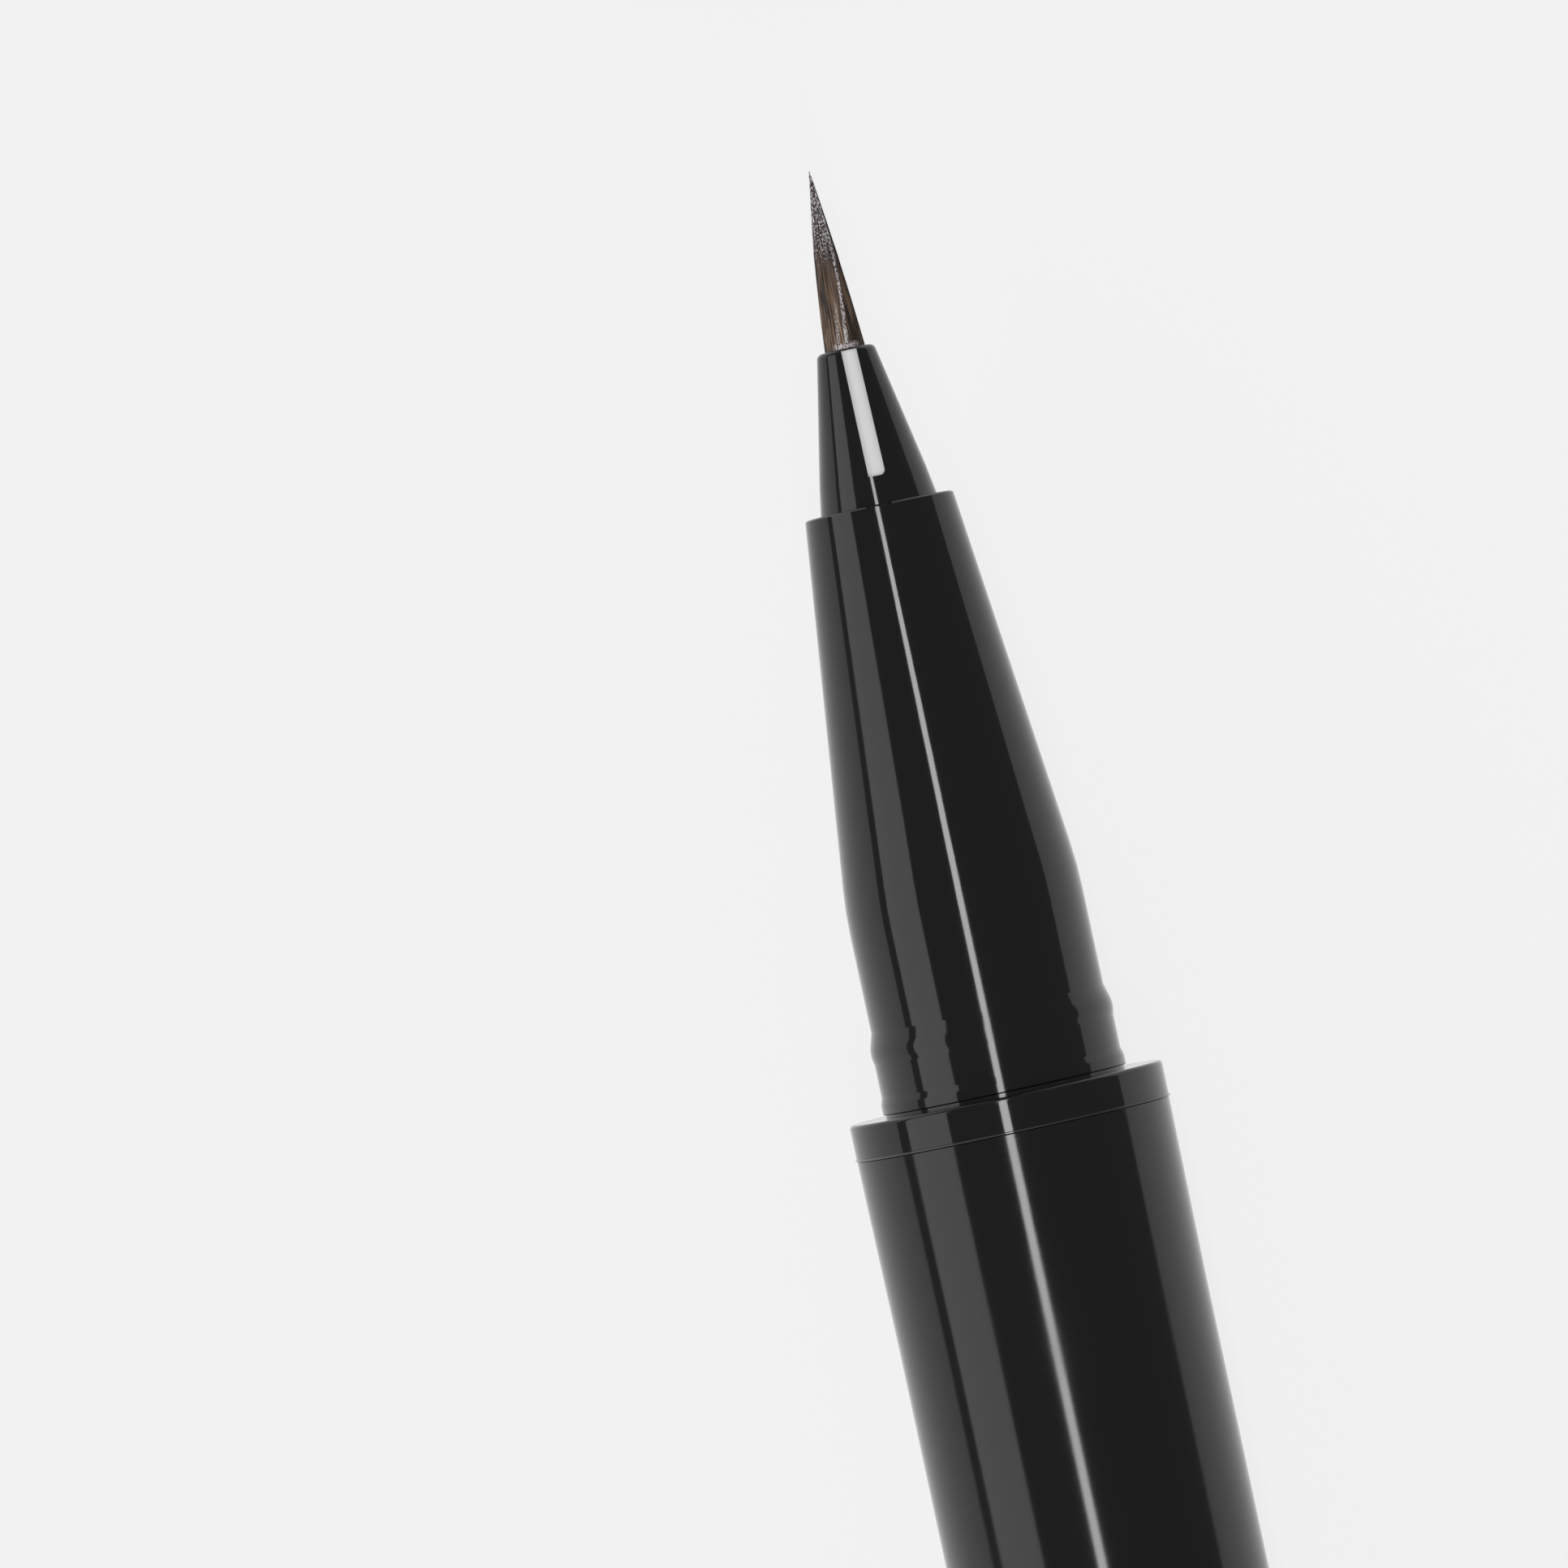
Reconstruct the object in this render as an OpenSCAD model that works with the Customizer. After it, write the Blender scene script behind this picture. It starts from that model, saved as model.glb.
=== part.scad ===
// Liquid eyeliner pen, lying open on its side, with its cap pulled off along the pen's axis.
// +X points from the tail to the brush, +Z is up, and the lowest point lies at z = 0.
// Stations along the pen are measured from its seam, the plane that the closed cap's mouth meets.

/* [Brush] */
// Length of the bristles in front of the nozzle
brush_len = 6.08; // [4.5:0.02:8]
// Diameter of the bundle where it leaves the nozzle
brush_d = 1.4; // [1.2:0.02:1.42]
// Length of the fused root behind the bristles
brush_root_len = 2.4; // [1.5:0.1:3]
// Depth of the bristles' start inside the nozzle's rim
brush_sink = 0.1; // [0.05:0.01:0.14]
// Thickness of the backing slice that the strands grow from
slice_t = 0.15; // [0.1:0.01:0.3]
// Strands along one side of the square pattern that fills the round bundle
strand_rows = 18; // [18:1:20]

/* [Nozzle] */
// Length of the nozzle in front of the grip
nozzle_len = 5.07; // [4.5:0.01:6.5]
// Outer diameter at the rim
nozzle_rim_d = 1.94; // [1.9:0.01:2.3]
// Radius of the rim's outer edge
nozzle_edge_r = 0.2; // [0.05:0.01:0.22]
// Outer diameter where the cone meets the base ring
nozzle_cone_d = 3.6; // [3.3:0.01:3.75]
// Wall of the cone just behind the rim
nozzle_front_wall = 0.16; // [0.12:0.01:0.17]
// Wall of the cone at the base ring
nozzle_base_wall = 0.3; // [0.2:0.01:0.5]
// Length of the base ring
base_ring_len = 0.78; // [0.5:0.01:1.2]
// Outer diameter of the base ring where it meets the grip
base_ring_d = 3.84; // [3.8:0.01:4]
// Length of the shank inside the grip
nozzle_shank_len = 3.5; // [2.5:0.1:4.5]
// Diameter of that shank
nozzle_shank_d = 3.76; // [3.7:0.01:3.79]
// Width of the two windows
window_w = 0.52; // [0.3:0.01:0.7]
// Radius of the windows' rear corners
window_r = 0.15; // [0.05:0.01:0.2]
// Solid rim in front of the windows
rim_len = 0.17; // [0.15:0.01:0.4]
// Solid sill between the windows and the base ring
window_sill = 0.1; // [0.05:0.01:0.4]
// Turn of the windows away from straight up, in degrees
window_turn = 3; // [-10:0.5:10]

/* [Wick] */
// Diameter of the fibre wick
wick_d = 1.3; // [1:0.05:1.36]
// Length of the wick inside the tank
wick_tail_len = 3; // [1:0.5:8]

/* [Grip] */
// Length of the grip from the seam to its front face
grip_len = 19.85; // [18:0.05:24]
// Diameter of the front face
grip_front_d = 4.95; // [4.8:0.01:5.4]
// Step down from the neck to the straight part
grip_step = 0.11; // [0.05:0.01:0.2]
// Station at which the taper to the front begins
grip_taper_start = 6.86; // [5:0.02:8]
// Radius of the front edge
grip_edge_r = 0.12; // [0.05:0.01:0.3]
// Radius of the rounding between the taper and the straight part
grip_blend_r = 14; // [4:1:30]
// Wall of the spigot inside the tank
grip_tail_wall = 0.78; // [0.6:0.02:1]
// Wall of the taper round the collector's neck
grip_nose_wall = 0.6; // [0.5:0.02:0.9]
// Bore through the web between the nozzle and the collector
web_bore_d = 2.2; // [1.8:0.05:2.6]
// Thickness of that web
web_t = 1; // [0.6:0.1:1.4]
// Length of the spigot inside the tank
grip_tail_len = 5.7; // [4:0.1:8]

/* [Snap ring] */
// Step up from the collar's bore to the neck
neck_step = 0.065; // [0.04:0.005:0.1]
// Height of the snap ring above the neck
snap_h = 0.05; // [0.03:0.005:0.08]
// Station of the snap ring's crest
snap_pos = 2.16; // [2:0.01:2.4]
// Width of the crest
snap_w = 0.26; // [0.2:0.01:0.5]
// Length of the slope in front of the crest
snap_front_len = 0.54; // [0.3:0.01:0.8]
// Length of the slope behind the crest
snap_rear_len = 0.26; // [0.1:0.01:0.35]
// Height of the shoulder above the neck
shoulder_h = 0.07; // [0.04:0.005:0.09]
// Foot groove between the seam and the shoulder
shoulder_gap = 0.1; // [0.05:0.01:0.2]
// Width of the shoulder
shoulder_w = 0.33; // [0.2:0.01:0.5]
// Length of the slope in front of the shoulder
shoulder_slope = 0.32; // [0.1:0.01:0.4]

/* [Collar] */
// Height of the collar above the barrel's front
collar_rise = 0.01; // [0.01:0.005:0.05]
// Length of the ring that shows
collar_len = 1.2; // [0.8:0.05:2.5]
// Length of its sleeve inside the barrel
sleeve_len = 5.8; // [4:0.1:9]
// Wall of that sleeve
sleeve_wall = 0.48; // [0.4:0.01:0.6]
// Height of the fine lip at the barrel's seam
lip_h = 0.04; // [0.03:0.005:0.08]
// Length of that lip
lip_len = 0.1; // [0.05:0.01:0.2]

/* [Barrel] */
// Length of the barrel tube
barrel_len = 88.6; // [70:0.5:110]
// Outer diameter of the barrel's straight part
barrel_d = 10.38; // [9.5:0.01:11.5]
// Height of the swell at the seam
barrel_swell = 0.05; // [0.03:0.005:0.1]
// Length over which the barrel swells to the seam
swell_len = 6.4; // [3:0.1:12]
// Wall of the barrel
barrel_wall = 0.74; // [0.6:0.01:0.8]
// Break of the edges at the seams
edge_break = 0.05; // [0.03:0.01:0.1]

/* [Tail plug] */
// Length of the plug's head behind the barrel
plug_head_len = 1.3; // [1:0.1:3]
// Radius of the head's rear edge
plug_edge_r = 0.8; // [0.3:0.05:0.95]
// Length of its spigot inside the barrel
plug_spigot_len = 4; // [2.5:0.1:6]
// Wall of the spigot
plug_wall = 0.9; // [0.6:0.05:1.4]

/* [Tank] */
// Wall of the ink tank
tank_wall = 0.6; // [0.45:0.01:0.7]
// Clearance between the tank and the barrel
tank_gap = 0.05; // [0.02:0.01:0.08]
// Thickness of the flat gasket in front of the tank
gasket_t = 0.3; // [0.2:0.05:0.8]
// Length of the stopper inside the tank
stopper_len = 3.2; // [2.6:0.1:6]
// Thickness of the stopper's flange
stopper_flange_t = 0.8; // [0.5:0.1:1.5]
// Wall of the stopper's cup
stopper_wall = 1.2; // [0.9:0.05:1.6]
// Section of the stopper's seal ring
seal_section = 0.7; // [0.5:0.05:0.9]
// Diameter of the mixing ball
ball_d = 2.8; // [2:0.1:2.9]

/* [Collector] */
// Distance from one fin to the next
fin_pitch = 0.9; // [0.7:0.05:1.5]
// Thickness of a fin
fin_t = 0.38; // [0.2:0.02:0.5]
// Wall of the core between the fins
core_wall = 0.68; // [0.5:0.02:1]
// Width of the notches that lead air from cell to cell
notch_w = 0.7; // [0.4:0.05:1.2]
// Depth of those notches
notch_depth = 0.8; // [0.4:0.05:1.2]
// Width of the capillary slit along one side
slit_w = 0.2; // [0.1:0.02:0.3]
// Thickness of the rear flange
collector_flange_t = 1.2; // [0.8:0.1:2]
// Length of the collector's neck
collector_neck_len = 3; // [2:0.1:5]

/* [Cap] */
// Length of the cap
cap_len = 44; // [40:0.5:54]
// Height of the cap's mouth above the collar
cap_rise = 0.03; // [0.01:0.005:0.06]
// Height of the swell at the mouth
cap_swell = 0.07; // [0.03:0.005:0.12]
// Draw of the cap from the swell to its top
cap_draw = 0.025; // [0.01:0.005:0.1]
// Length of the mouth's straight part
cap_mouth_len = 2; // [1:0.1:3]
// Length of the swell
cap_swell_len = 4; // [2:0.1:8]
// Station at which the cap has reached its top diameter
cap_top_start = 22; // [18:0.5:30]
// Radius of the top edge
cap_edge_r = 0.9; // [0.4:0.05:1.4]
// Thickness of the top wall
cap_top_t = 1.6; // [1:0.1:3]
// Thickness of the three ribs that hold the inner cap down
rib_t = 0.7; // [0.5:0.05:1.2]
// Radius at which the ribs end
rib_inner_r = 2; // [1.5:0.1:3]

/* [Inner cap] */
// Wall of the inner cap's skirt at its mouth
skirt_wall = 0.215; // [0.18:0.005:0.26]
// Distance from the cap's mouth to the skirt
skirt_inset = 0.8; // [0.5:0.05:0.9]
// Station at which the skirt ends and the cup begins
skirt_end = 12; // [10:0.5:14]
// Place of the sealing land on the grip's taper, as a share of the taper's height
land_share = 0.332; // [0.25:0.01:0.4]
// Wall of the cup
cup_wall = 0.7; // [0.5:0.05:0.9]
// Free length in front of the brush
cup_reach = 1.6; // [1:0.1:3]
// Thickness of the cup's end
cup_end_t = 0.8; // [0.5:0.1:1.5]
// Length of the sealing land that meets the grip's taper
land_len = 0.7; // [0.4:0.05:1]
// Width of the snap bead
bead_w = 0.4; // [0.3:0.02:0.5]

/* [Fits] */
// Radial clearance of pieces that are pressed together
press_clear = 0.02; // [0.01:0.005:0.03]
// Radial clearance between the inner cap and the grip
cap_clear = 0.06; // [0.05:0.01:0.08]
// Radial clearance where the cap snaps and seals
snap_clear = 0.025; // [0.02:0.005:0.03]
// Clearance round the mixing ball
ball_clear = 0.03; // [0.02:0.01:0.1]

/* [Travel] */
// Free space between the brush and the cap that is taken off
cap_off_gap = 12; // [8:0.5:40]

/* [Hidden] */
$fn = 96;
overrun = 0.5;
arc_steps = 8;

// Stations along the pen
nozzle_front = grip_len + nozzle_len;
tip = nozzle_front + brush_len;
ring_front = grip_len + base_ring_len;
rim_rear = nozzle_front - rim_len;
slice_front = nozzle_front - brush_sink;
root_front = slice_front - slice_t;
root_rear = root_front - brush_root_len;
shank_rear = grip_len - nozzle_shank_len;
web_front = shank_rear - press_clear;
web_rear = web_front - web_t;
bore_step = grip_taper_start + fin_pitch;
sleeve_rear = -collar_len - sleeve_len;
tank_front = sleeve_rear - gasket_t;
grip_rear = tank_front - grip_tail_len;
barrel_rear = -collar_len - barrel_len;
tail = barrel_rear - plug_head_len;
plug_front = barrel_rear + plug_spigot_len;
tank_rear = plug_front + stopper_flange_t;
stopper_front = tank_rear + stopper_len;
cup_end = tip + cup_reach;
inner_cap_end = cup_end + cup_end_t;

// Diameters from the barrel inwards, and from the neck outwards to the cap
barrel_front_d = barrel_d + 2 * barrel_swell;
barrel_bore_d = barrel_d - 2 * barrel_wall;
collar_d = barrel_front_d + 2 * collar_rise;
lip_d = collar_d + 2 * lip_h;
sleeve_d = barrel_bore_d - 2 * press_clear;
collar_bore_d = sleeve_d - 2 * sleeve_wall;
spigot_d = collar_bore_d - 2 * press_clear;
neck_d = collar_bore_d + 2 * neck_step;
snap_d = neck_d + 2 * snap_h;
shoulder_d = neck_d + 2 * shoulder_h;
grip_d = neck_d - 2 * grip_step;
tank_d = barrel_bore_d - 2 * tank_gap;
tank_bore_d = tank_d - 2 * tank_wall;
tail_spigot_d = tank_bore_d - 2 * press_clear;
grip_bore_d = tail_spigot_d - 2 * grip_tail_wall;
cap_mouth_d = collar_d + 2 * cap_rise;
cap_waist_d = cap_mouth_d - 2 * cap_swell;
cap_top_d = cap_waist_d - 2 * cap_draw;
skirt_d = shoulder_d + 2 * (cap_clear + skirt_wall);
shell_bore_d = skirt_d + 2 * press_clear;

// The cap's travel from closed to off, and the pen's place in the frame
cap_travel = tip + cap_off_gap;
seam_x = -(tail + cap_travel + cap_len) / 2;
axis_h = max(cap_mouth_d, lip_d, collar_d) / 2;

// Diameters along the tapers, and those that follow from them
function mix(a, b, t) = a + (b - a) * t;
function nozzle_d_at(a) = mix(nozzle_cone_d, nozzle_rim_d, (a - ring_front) / (nozzle_front - ring_front));
function grip_d_at(a) = mix(grip_d, grip_front_d, (a - grip_taper_start) / (grip_len - grip_taper_start));
brush_bore_d = brush_d + press_clear;
wick_bore_d = wick_d + 2 * press_clear;
cavity_front_d = nozzle_d_at(rim_rear) - 2 * nozzle_front_wall;
cavity_rear_d = nozzle_cone_d - 2 * nozzle_base_wall;
grip_neck_bore_d = grip_d_at(web_rear) - 2 * grip_nose_wall;
fin_d = grip_bore_d - 2 * press_clear;
core_d = wick_bore_d + 2 * core_wall;
collector_neck_d = grip_neck_bore_d - 2 * press_clear;
cup_bore_d = mix(grip_front_d, grip_d, land_share);
cup_d = cup_bore_d + 2 * cup_wall;
seal_groove_d = tank_bore_d - 2 * seal_section;

// Points on an arc about c, from angle a0 to a1
function arc(c, r, a0, a1) =
    [for (i = [0 : arc_steps]) c + r * [cos(mix(a0, a1, i / arc_steps)), sin(mix(a0, a1, i / arc_steps))]];

// Stands a shape that is turned about Z on the pen's axis, with its seam station at seam_x
module on_axis() {
    translate([seam_x, 0, axis_h])
        rotate([0, 90, 0])
            children();
}

// The same for what belongs to the cap, in its place off the pen
module on_cap() {
    on_axis()
        translate([0, 0, cap_travel])
            children();
}

// A solid of revolution from an outline of [radius, station] points
module turned(outline) {
    rotate_extrude()
        polygon(outline);
}

// A tube or ring between two stations
module ring(outer_d, inner_d, from, to) {
    turned([[inner_d / 2, from], [outer_d / 2, from], [outer_d / 2, to], [inner_d / 2, to]]);
}

// The brush is one closed surface: a round slice whose front carries one tapering strand on each cell
// of a square pattern that is mapped onto the disc. Every strand keeps its place in the pattern while
// the bundle draws in, so that none crosses another.
strand_fill_share = 0.86;
waist_pos_share = 0.5;
waist_size_share = 0.59;
tip_size_share = 0.03;
short_share = 0.12;

function disc_point(u, v) =
    [brush_d / 2 * u * sqrt(1 - v * v / 2), brush_d / 2 * v * sqrt(1 - u * u / 2)];
function grid_point(i, j) = disc_point(2 * i / strand_rows - 1, 2 * j / strand_rows - 1);
function lift(p, a) = [p[0], p[1], a];
function cell_corner(i, j, k) = grid_point(i + [0, 1, 1, 0][k], j + [0, 0, 1, 1][k]);
function cell_middle(i, j) =
    (cell_corner(i, j, 0) + cell_corner(i, j, 1) + cell_corner(i, j, 2) + cell_corner(i, j, 3)) / 4;
function strand_corner(i, j, k) = mix(cell_middle(i, j), cell_corner(i, j, k), strand_fill_share);
function strand_len_share(i, j) = 1 - short_share * (1 + sin(127 * i + 311 * j)) / 2;
function bundle_share(t) =
    t < waist_pos_share
        ? mix(1, waist_size_share, t / waist_pos_share)
        : mix(waist_size_share, tip_size_share, (t - waist_pos_share) / (1 - waist_pos_share));
function edge_point(n) =
    let (side = floor(n / strand_rows), k = n % strand_rows)
    side == 0 ? [k, 0]
    : side == 1 ? [strand_rows, k]
    : side == 2 ? [strand_rows - k, strand_rows]
    : [0, strand_rows - k];

module brush_surface() {
    rows = strand_rows;
    whole_len = brush_len + brush_sink;
    grid_size = (rows + 1) * (rows + 1);
    edge_size = 4 * rows;
    strands_start = grid_size + edge_size + 1;
    strand_size = 9;
    function at_grid(i, j) = i * (rows + 1) + j;
    function at_edge(n) = let (p = edge_point(n % edge_size)) at_grid(p[0], p[1]);
    function at_back(n) = grid_size + n % edge_size;
    function at_strand(i, j, k) = strands_start + (i * rows + j) * strand_size + k;
    function at_corner(i, j, k) = at_grid(i + [0, 1, 1, 0][k % 4], j + [0, 0, 1, 1][k % 4]);
    points = [
        for (i = [0 : rows], j = [0 : rows]) lift(grid_point(i, j), slice_front),
        for (n = [0 : edge_size - 1]) let (p = edge_point(n)) lift(grid_point(p[0], p[1]), root_front),
        [0, 0, root_front],
        for (i = [0 : rows - 1], j = [0 : rows - 1]) each strand_points(i, j, whole_len)
    ];
    faces = [
        for (i = [0 : rows - 1], j = [0 : rows - 1], k = [0 : 3])
            each cell_faces(
                [at_corner(i, j, k), at_corner(i, j, k + 1)],
                [at_strand(i, j, k), at_strand(i, j, (k + 1) % 4)],
                [at_strand(i, j, 4 + k), at_strand(i, j, 4 + (k + 1) % 4)],
                at_strand(i, j, 8)
            ),
        for (n = [0 : edge_size - 1])
            each [
                [at_edge(n), at_edge(n + 1), at_back(n + 1)],
                [at_edge(n), at_back(n + 1), at_back(n)],
                [at_back(n), at_back(n + 1), grid_size + edge_size]
            ]
    ];
    polyhedron(points = points, faces = faces);
}

// A strand's foot, waist and tip
function strand_points(i, j, whole_len) =
    let (reach = strand_len_share(i, j))
    concat(
        [for (k = [0 : 3]) lift(strand_corner(i, j, k), slice_front)],
        [for (k = [0 : 3])
            lift(waist_size_share * strand_corner(i, j, k), slice_front + waist_pos_share * whole_len)],
        [lift(bundle_share(reach) * cell_middle(i, j), slice_front + reach * whole_len)]
    );

// One quarter of a cell: the slice's strip beside the strand, and one side of the strand
function cell_faces(cell, foot, waist, top) = [
    [cell[0], foot[0], foot[1]],
    [cell[0], foot[1], cell[1]],
    [foot[0], waist[0], waist[1]],
    [foot[0], waist[1], foot[1]],
    [waist[0], top, waist[1]]
];

module brush() {
    color("saddlebrown")
        on_axis()
            brush_surface();
}

module brush_root() {
    color("sienna")
        on_axis()
            translate([0, 0, root_rear])
                cylinder(d = brush_d, h = brush_root_len);
}

// White sleeve that grips the brush's root and the wick, and shows through the nozzle's windows
module brush_holder() {
    root_stop = root_rear - press_clear;
    color("white")
        on_axis()
            turned([
                [brush_bore_d / 2, rim_rear - press_clear],
                [cavity_front_d / 2 - press_clear, rim_rear - press_clear],
                [cavity_rear_d / 2 - press_clear, ring_front],
                [cavity_rear_d / 2 - press_clear, shank_rear],
                [wick_bore_d / 2, shank_rear],
                [wick_bore_d / 2, root_stop],
                [brush_bore_d / 2, root_stop]
            ]);
}

// Outline of a window as seen from above: square in front, with rounded rear corners
module window_outline() {
    rear = ring_front + window_sill;
    for (side = [-1, 1])
        translate([rear + window_r, side * (window_w / 2 - window_r)])
            circle(r = window_r);
    translate([rear, -window_w / 2 + window_r])
        square([window_r + window_r, window_w - 2 * window_r]);
    translate([rear + window_r, -window_w / 2])
        square([rim_rear - rear - window_r, window_w]);
}

module nozzle() {
    rim_r = nozzle_rim_d / 2;
    cone_angle = atan((nozzle_cone_d / 2 - rim_r) / (nozzle_front - ring_front));
    color("black")
        on_axis()
            difference() {
                turned(concat(
                    [[brush_bore_d / 2, nozzle_front]],
                    arc([rim_r - nozzle_edge_r, nozzle_front - nozzle_edge_r], nozzle_edge_r, 90, cone_angle),
                    [
                        [nozzle_cone_d / 2, ring_front],
                        [base_ring_d / 2, grip_len],
                        [nozzle_shank_d / 2, grip_len],
                        [nozzle_shank_d / 2, shank_rear],
                        [cavity_rear_d / 2, shank_rear],
                        [cavity_rear_d / 2, ring_front],
                        [cavity_front_d / 2, rim_rear],
                        [brush_bore_d / 2, rim_rear]
                    ]
                ));
                rotate([0, 0, window_turn])
                    rotate([0, -90, 0])
                        linear_extrude(height = nozzle_cone_d + overrun, center = true)
                            window_outline();
            }
}

module wick() {
    rear = grip_rear - wick_tail_len;
    color("ivory")
        on_axis()
            translate([0, 0, rear])
                cylinder(d = wick_d, h = root_rear - press_clear - rear);
}

// Outer outline of the grip, from the shank of the nozzle back to the seam
taper_angle = atan((grip_d - grip_front_d) / 2 / (grip_len - grip_taper_start));
function grip_outline() = concat(
    arc([grip_front_d / 2 - grip_edge_r, grip_len - grip_edge_r], grip_edge_r, 90, taper_angle),
    arc([grip_d / 2 - grip_blend_r, grip_taper_start - grip_blend_r * tan(taper_angle / 2)],
        grip_blend_r, taper_angle, 0),
    [
        [grip_d / 2, snap_pos + snap_w / 2 + snap_front_len],
        [snap_d / 2, snap_pos + snap_w / 2],
        [snap_d / 2, snap_pos - snap_w / 2],
        [neck_d / 2, snap_pos - snap_w / 2 - snap_rear_len],
        [neck_d / 2, shoulder_gap + shoulder_w + shoulder_slope],
        [shoulder_d / 2, shoulder_gap + shoulder_w],
        [shoulder_d / 2, shoulder_gap],
        [neck_d / 2, shoulder_gap],
        [neck_d / 2, 0]
    ]
);

module grip() {
    color("dimgray")
        on_axis()
            turned(concat(
                [[nozzle_shank_d / 2 + press_clear, grip_len]],
                grip_outline(),
                [
                    [spigot_d / 2, 0],
                    [spigot_d / 2, tank_front],
                    [tail_spigot_d / 2, tank_front],
                    [tail_spigot_d / 2, grip_rear],
                    [grip_bore_d / 2, grip_rear],
                    [grip_bore_d / 2, bore_step],
                    [grip_neck_bore_d / 2, bore_step],
                    [grip_neck_bore_d / 2, web_rear],
                    [web_bore_d / 2, web_rear],
                    [web_bore_d / 2, web_front],
                    [nozzle_shank_d / 2 + press_clear, web_front]
                ]
            ));
}

// Finned ink collector: thin fins on a hollow core hold ink between them when the tank warms.
// Notches turn from fin to fin, so that air winds through the cells, and one slit feeds them all.
module collector() {
    fins_rear = grip_rear + collector_flange_t;
    fins_front = bore_step - press_clear;
    fin_count = floor((fins_front - fins_rear) / fin_pitch);
    color("lightsteelblue")
        on_axis()
            difference() {
                union() {
                    ring(core_d, wick_bore_d, grip_rear, web_rear - press_clear);
                    ring(fin_d, wick_bore_d, grip_rear, fins_rear);
                    ring(collector_neck_d, wick_bore_d, fins_front - fin_t, fins_front + collector_neck_len);
                    for (i = [1 : fin_count - 1])
                        ring(fin_d, wick_bore_d, fins_rear + i * fin_pitch, fins_rear + i * fin_pitch + fin_t);
                }
                for (i = [1 : fin_count - 1])
                    rotate([0, 0, i % 2 == 0 ? 60 : -60])
                        translate([fin_d / 2 - notch_depth, -notch_w / 2, fins_rear + i * fin_pitch - fin_t / 2])
                            cube([notch_depth + overrun, notch_w, 2 * fin_t]);
                translate([-fin_d / 2 - overrun, -slit_w / 2, grip_rear - overrun])
                    cube([(fin_d - core_d) / 2 + overrun, slit_w, fins_front - grip_rear + overrun]);
            }
}

module collar_ring() {
    color("black")
        on_axis()
            turned([
                [collar_bore_d / 2, 0],
                [collar_d / 2 - edge_break, 0],
                [collar_d / 2, -edge_break],
                [collar_d / 2, -collar_len + lip_len],
                [lip_d / 2, -collar_len + lip_len / 2],
                [lip_d / 2, -collar_len],
                [sleeve_d / 2, -collar_len],
                [sleeve_d / 2, sleeve_rear],
                [collar_bore_d / 2, sleeve_rear]
            ]);
}

module barrel() {
    color("black")
        on_axis()
            turned([
                [barrel_bore_d / 2, -collar_len],
                [barrel_front_d / 2 - edge_break, -collar_len],
                [barrel_front_d / 2, -collar_len - edge_break],
                [barrel_d / 2, -collar_len - swell_len],
                [barrel_d / 2, barrel_rear + edge_break],
                [barrel_d / 2 - edge_break, barrel_rear],
                [barrel_bore_d / 2, barrel_rear]
            ]);
}

// Flat gasket between the collar's sleeve and the tank
module tank_gasket() {
    color("firebrick")
        on_axis()
            ring(tank_d, collar_bore_d, tank_front, sleeve_rear);
}

module tank() {
    color("gainsboro")
        on_axis()
            ring(tank_d, tank_bore_d, tank_rear, tank_front);
}

// The ball that stirs the ink lies on the tank's floor, at the tail end
module mixing_ball() {
    drop = (tank_bore_d - ball_d) / 2 - ball_clear;
    color("silver")
        on_axis()
            translate([drop, 0, stopper_front + ball_d / 2 + ball_clear])
                sphere(d = ball_d);
}

// Cup-shaped stopper that closes the tank, with a groove for its seal ring
module tank_stopper() {
    groove_w = seal_section + 2 * press_clear;
    groove_rear = tank_rear + (stopper_len - groove_w) / 2;
    color("whitesmoke")
        on_axis()
            turned([
                [0, stopper_front],
                [tail_spigot_d / 2, stopper_front],
                [tail_spigot_d / 2, groove_rear + groove_w],
                [seal_groove_d / 2, groove_rear + groove_w],
                [seal_groove_d / 2, groove_rear],
                [tail_spigot_d / 2, groove_rear],
                [tail_spigot_d / 2, tank_rear],
                [tank_d / 2, tank_rear],
                [tank_d / 2, plug_front],
                [seal_groove_d / 2 - stopper_wall, plug_front],
                [seal_groove_d / 2 - stopper_wall, stopper_front - stopper_wall],
                [0, stopper_front - stopper_wall]
            ]);
}

module stopper_seal() {
    section_r = seal_section / 2 - press_clear / 2;
    color("firebrick")
        on_axis()
            translate([0, 0, tank_rear + stopper_len / 2])
                rotate_extrude()
                    translate([(tank_bore_d - seal_section) / 2, 0])
                        circle(r = section_r);
}

// Plug that closes the barrel: a rounded head over a hollow spigot
module tail_plug() {
    head_r = barrel_d / 2;
    floor_a = barrel_rear - plug_head_len / 3;
    color("black")
        on_axis()
            turned(concat(
                [
                    [0, floor_a],
                    [sleeve_d / 2 - plug_wall, floor_a],
                    [sleeve_d / 2 - plug_wall, plug_front],
                    [sleeve_d / 2, plug_front],
                    [sleeve_d / 2, barrel_rear],
                    [head_r - edge_break, barrel_rear],
                    [head_r, barrel_rear - edge_break]
                ],
                arc([head_r - plug_edge_r, tail + plug_edge_r], plug_edge_r, 0, -90),
                [[0, tail]]
            ));
}

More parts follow.
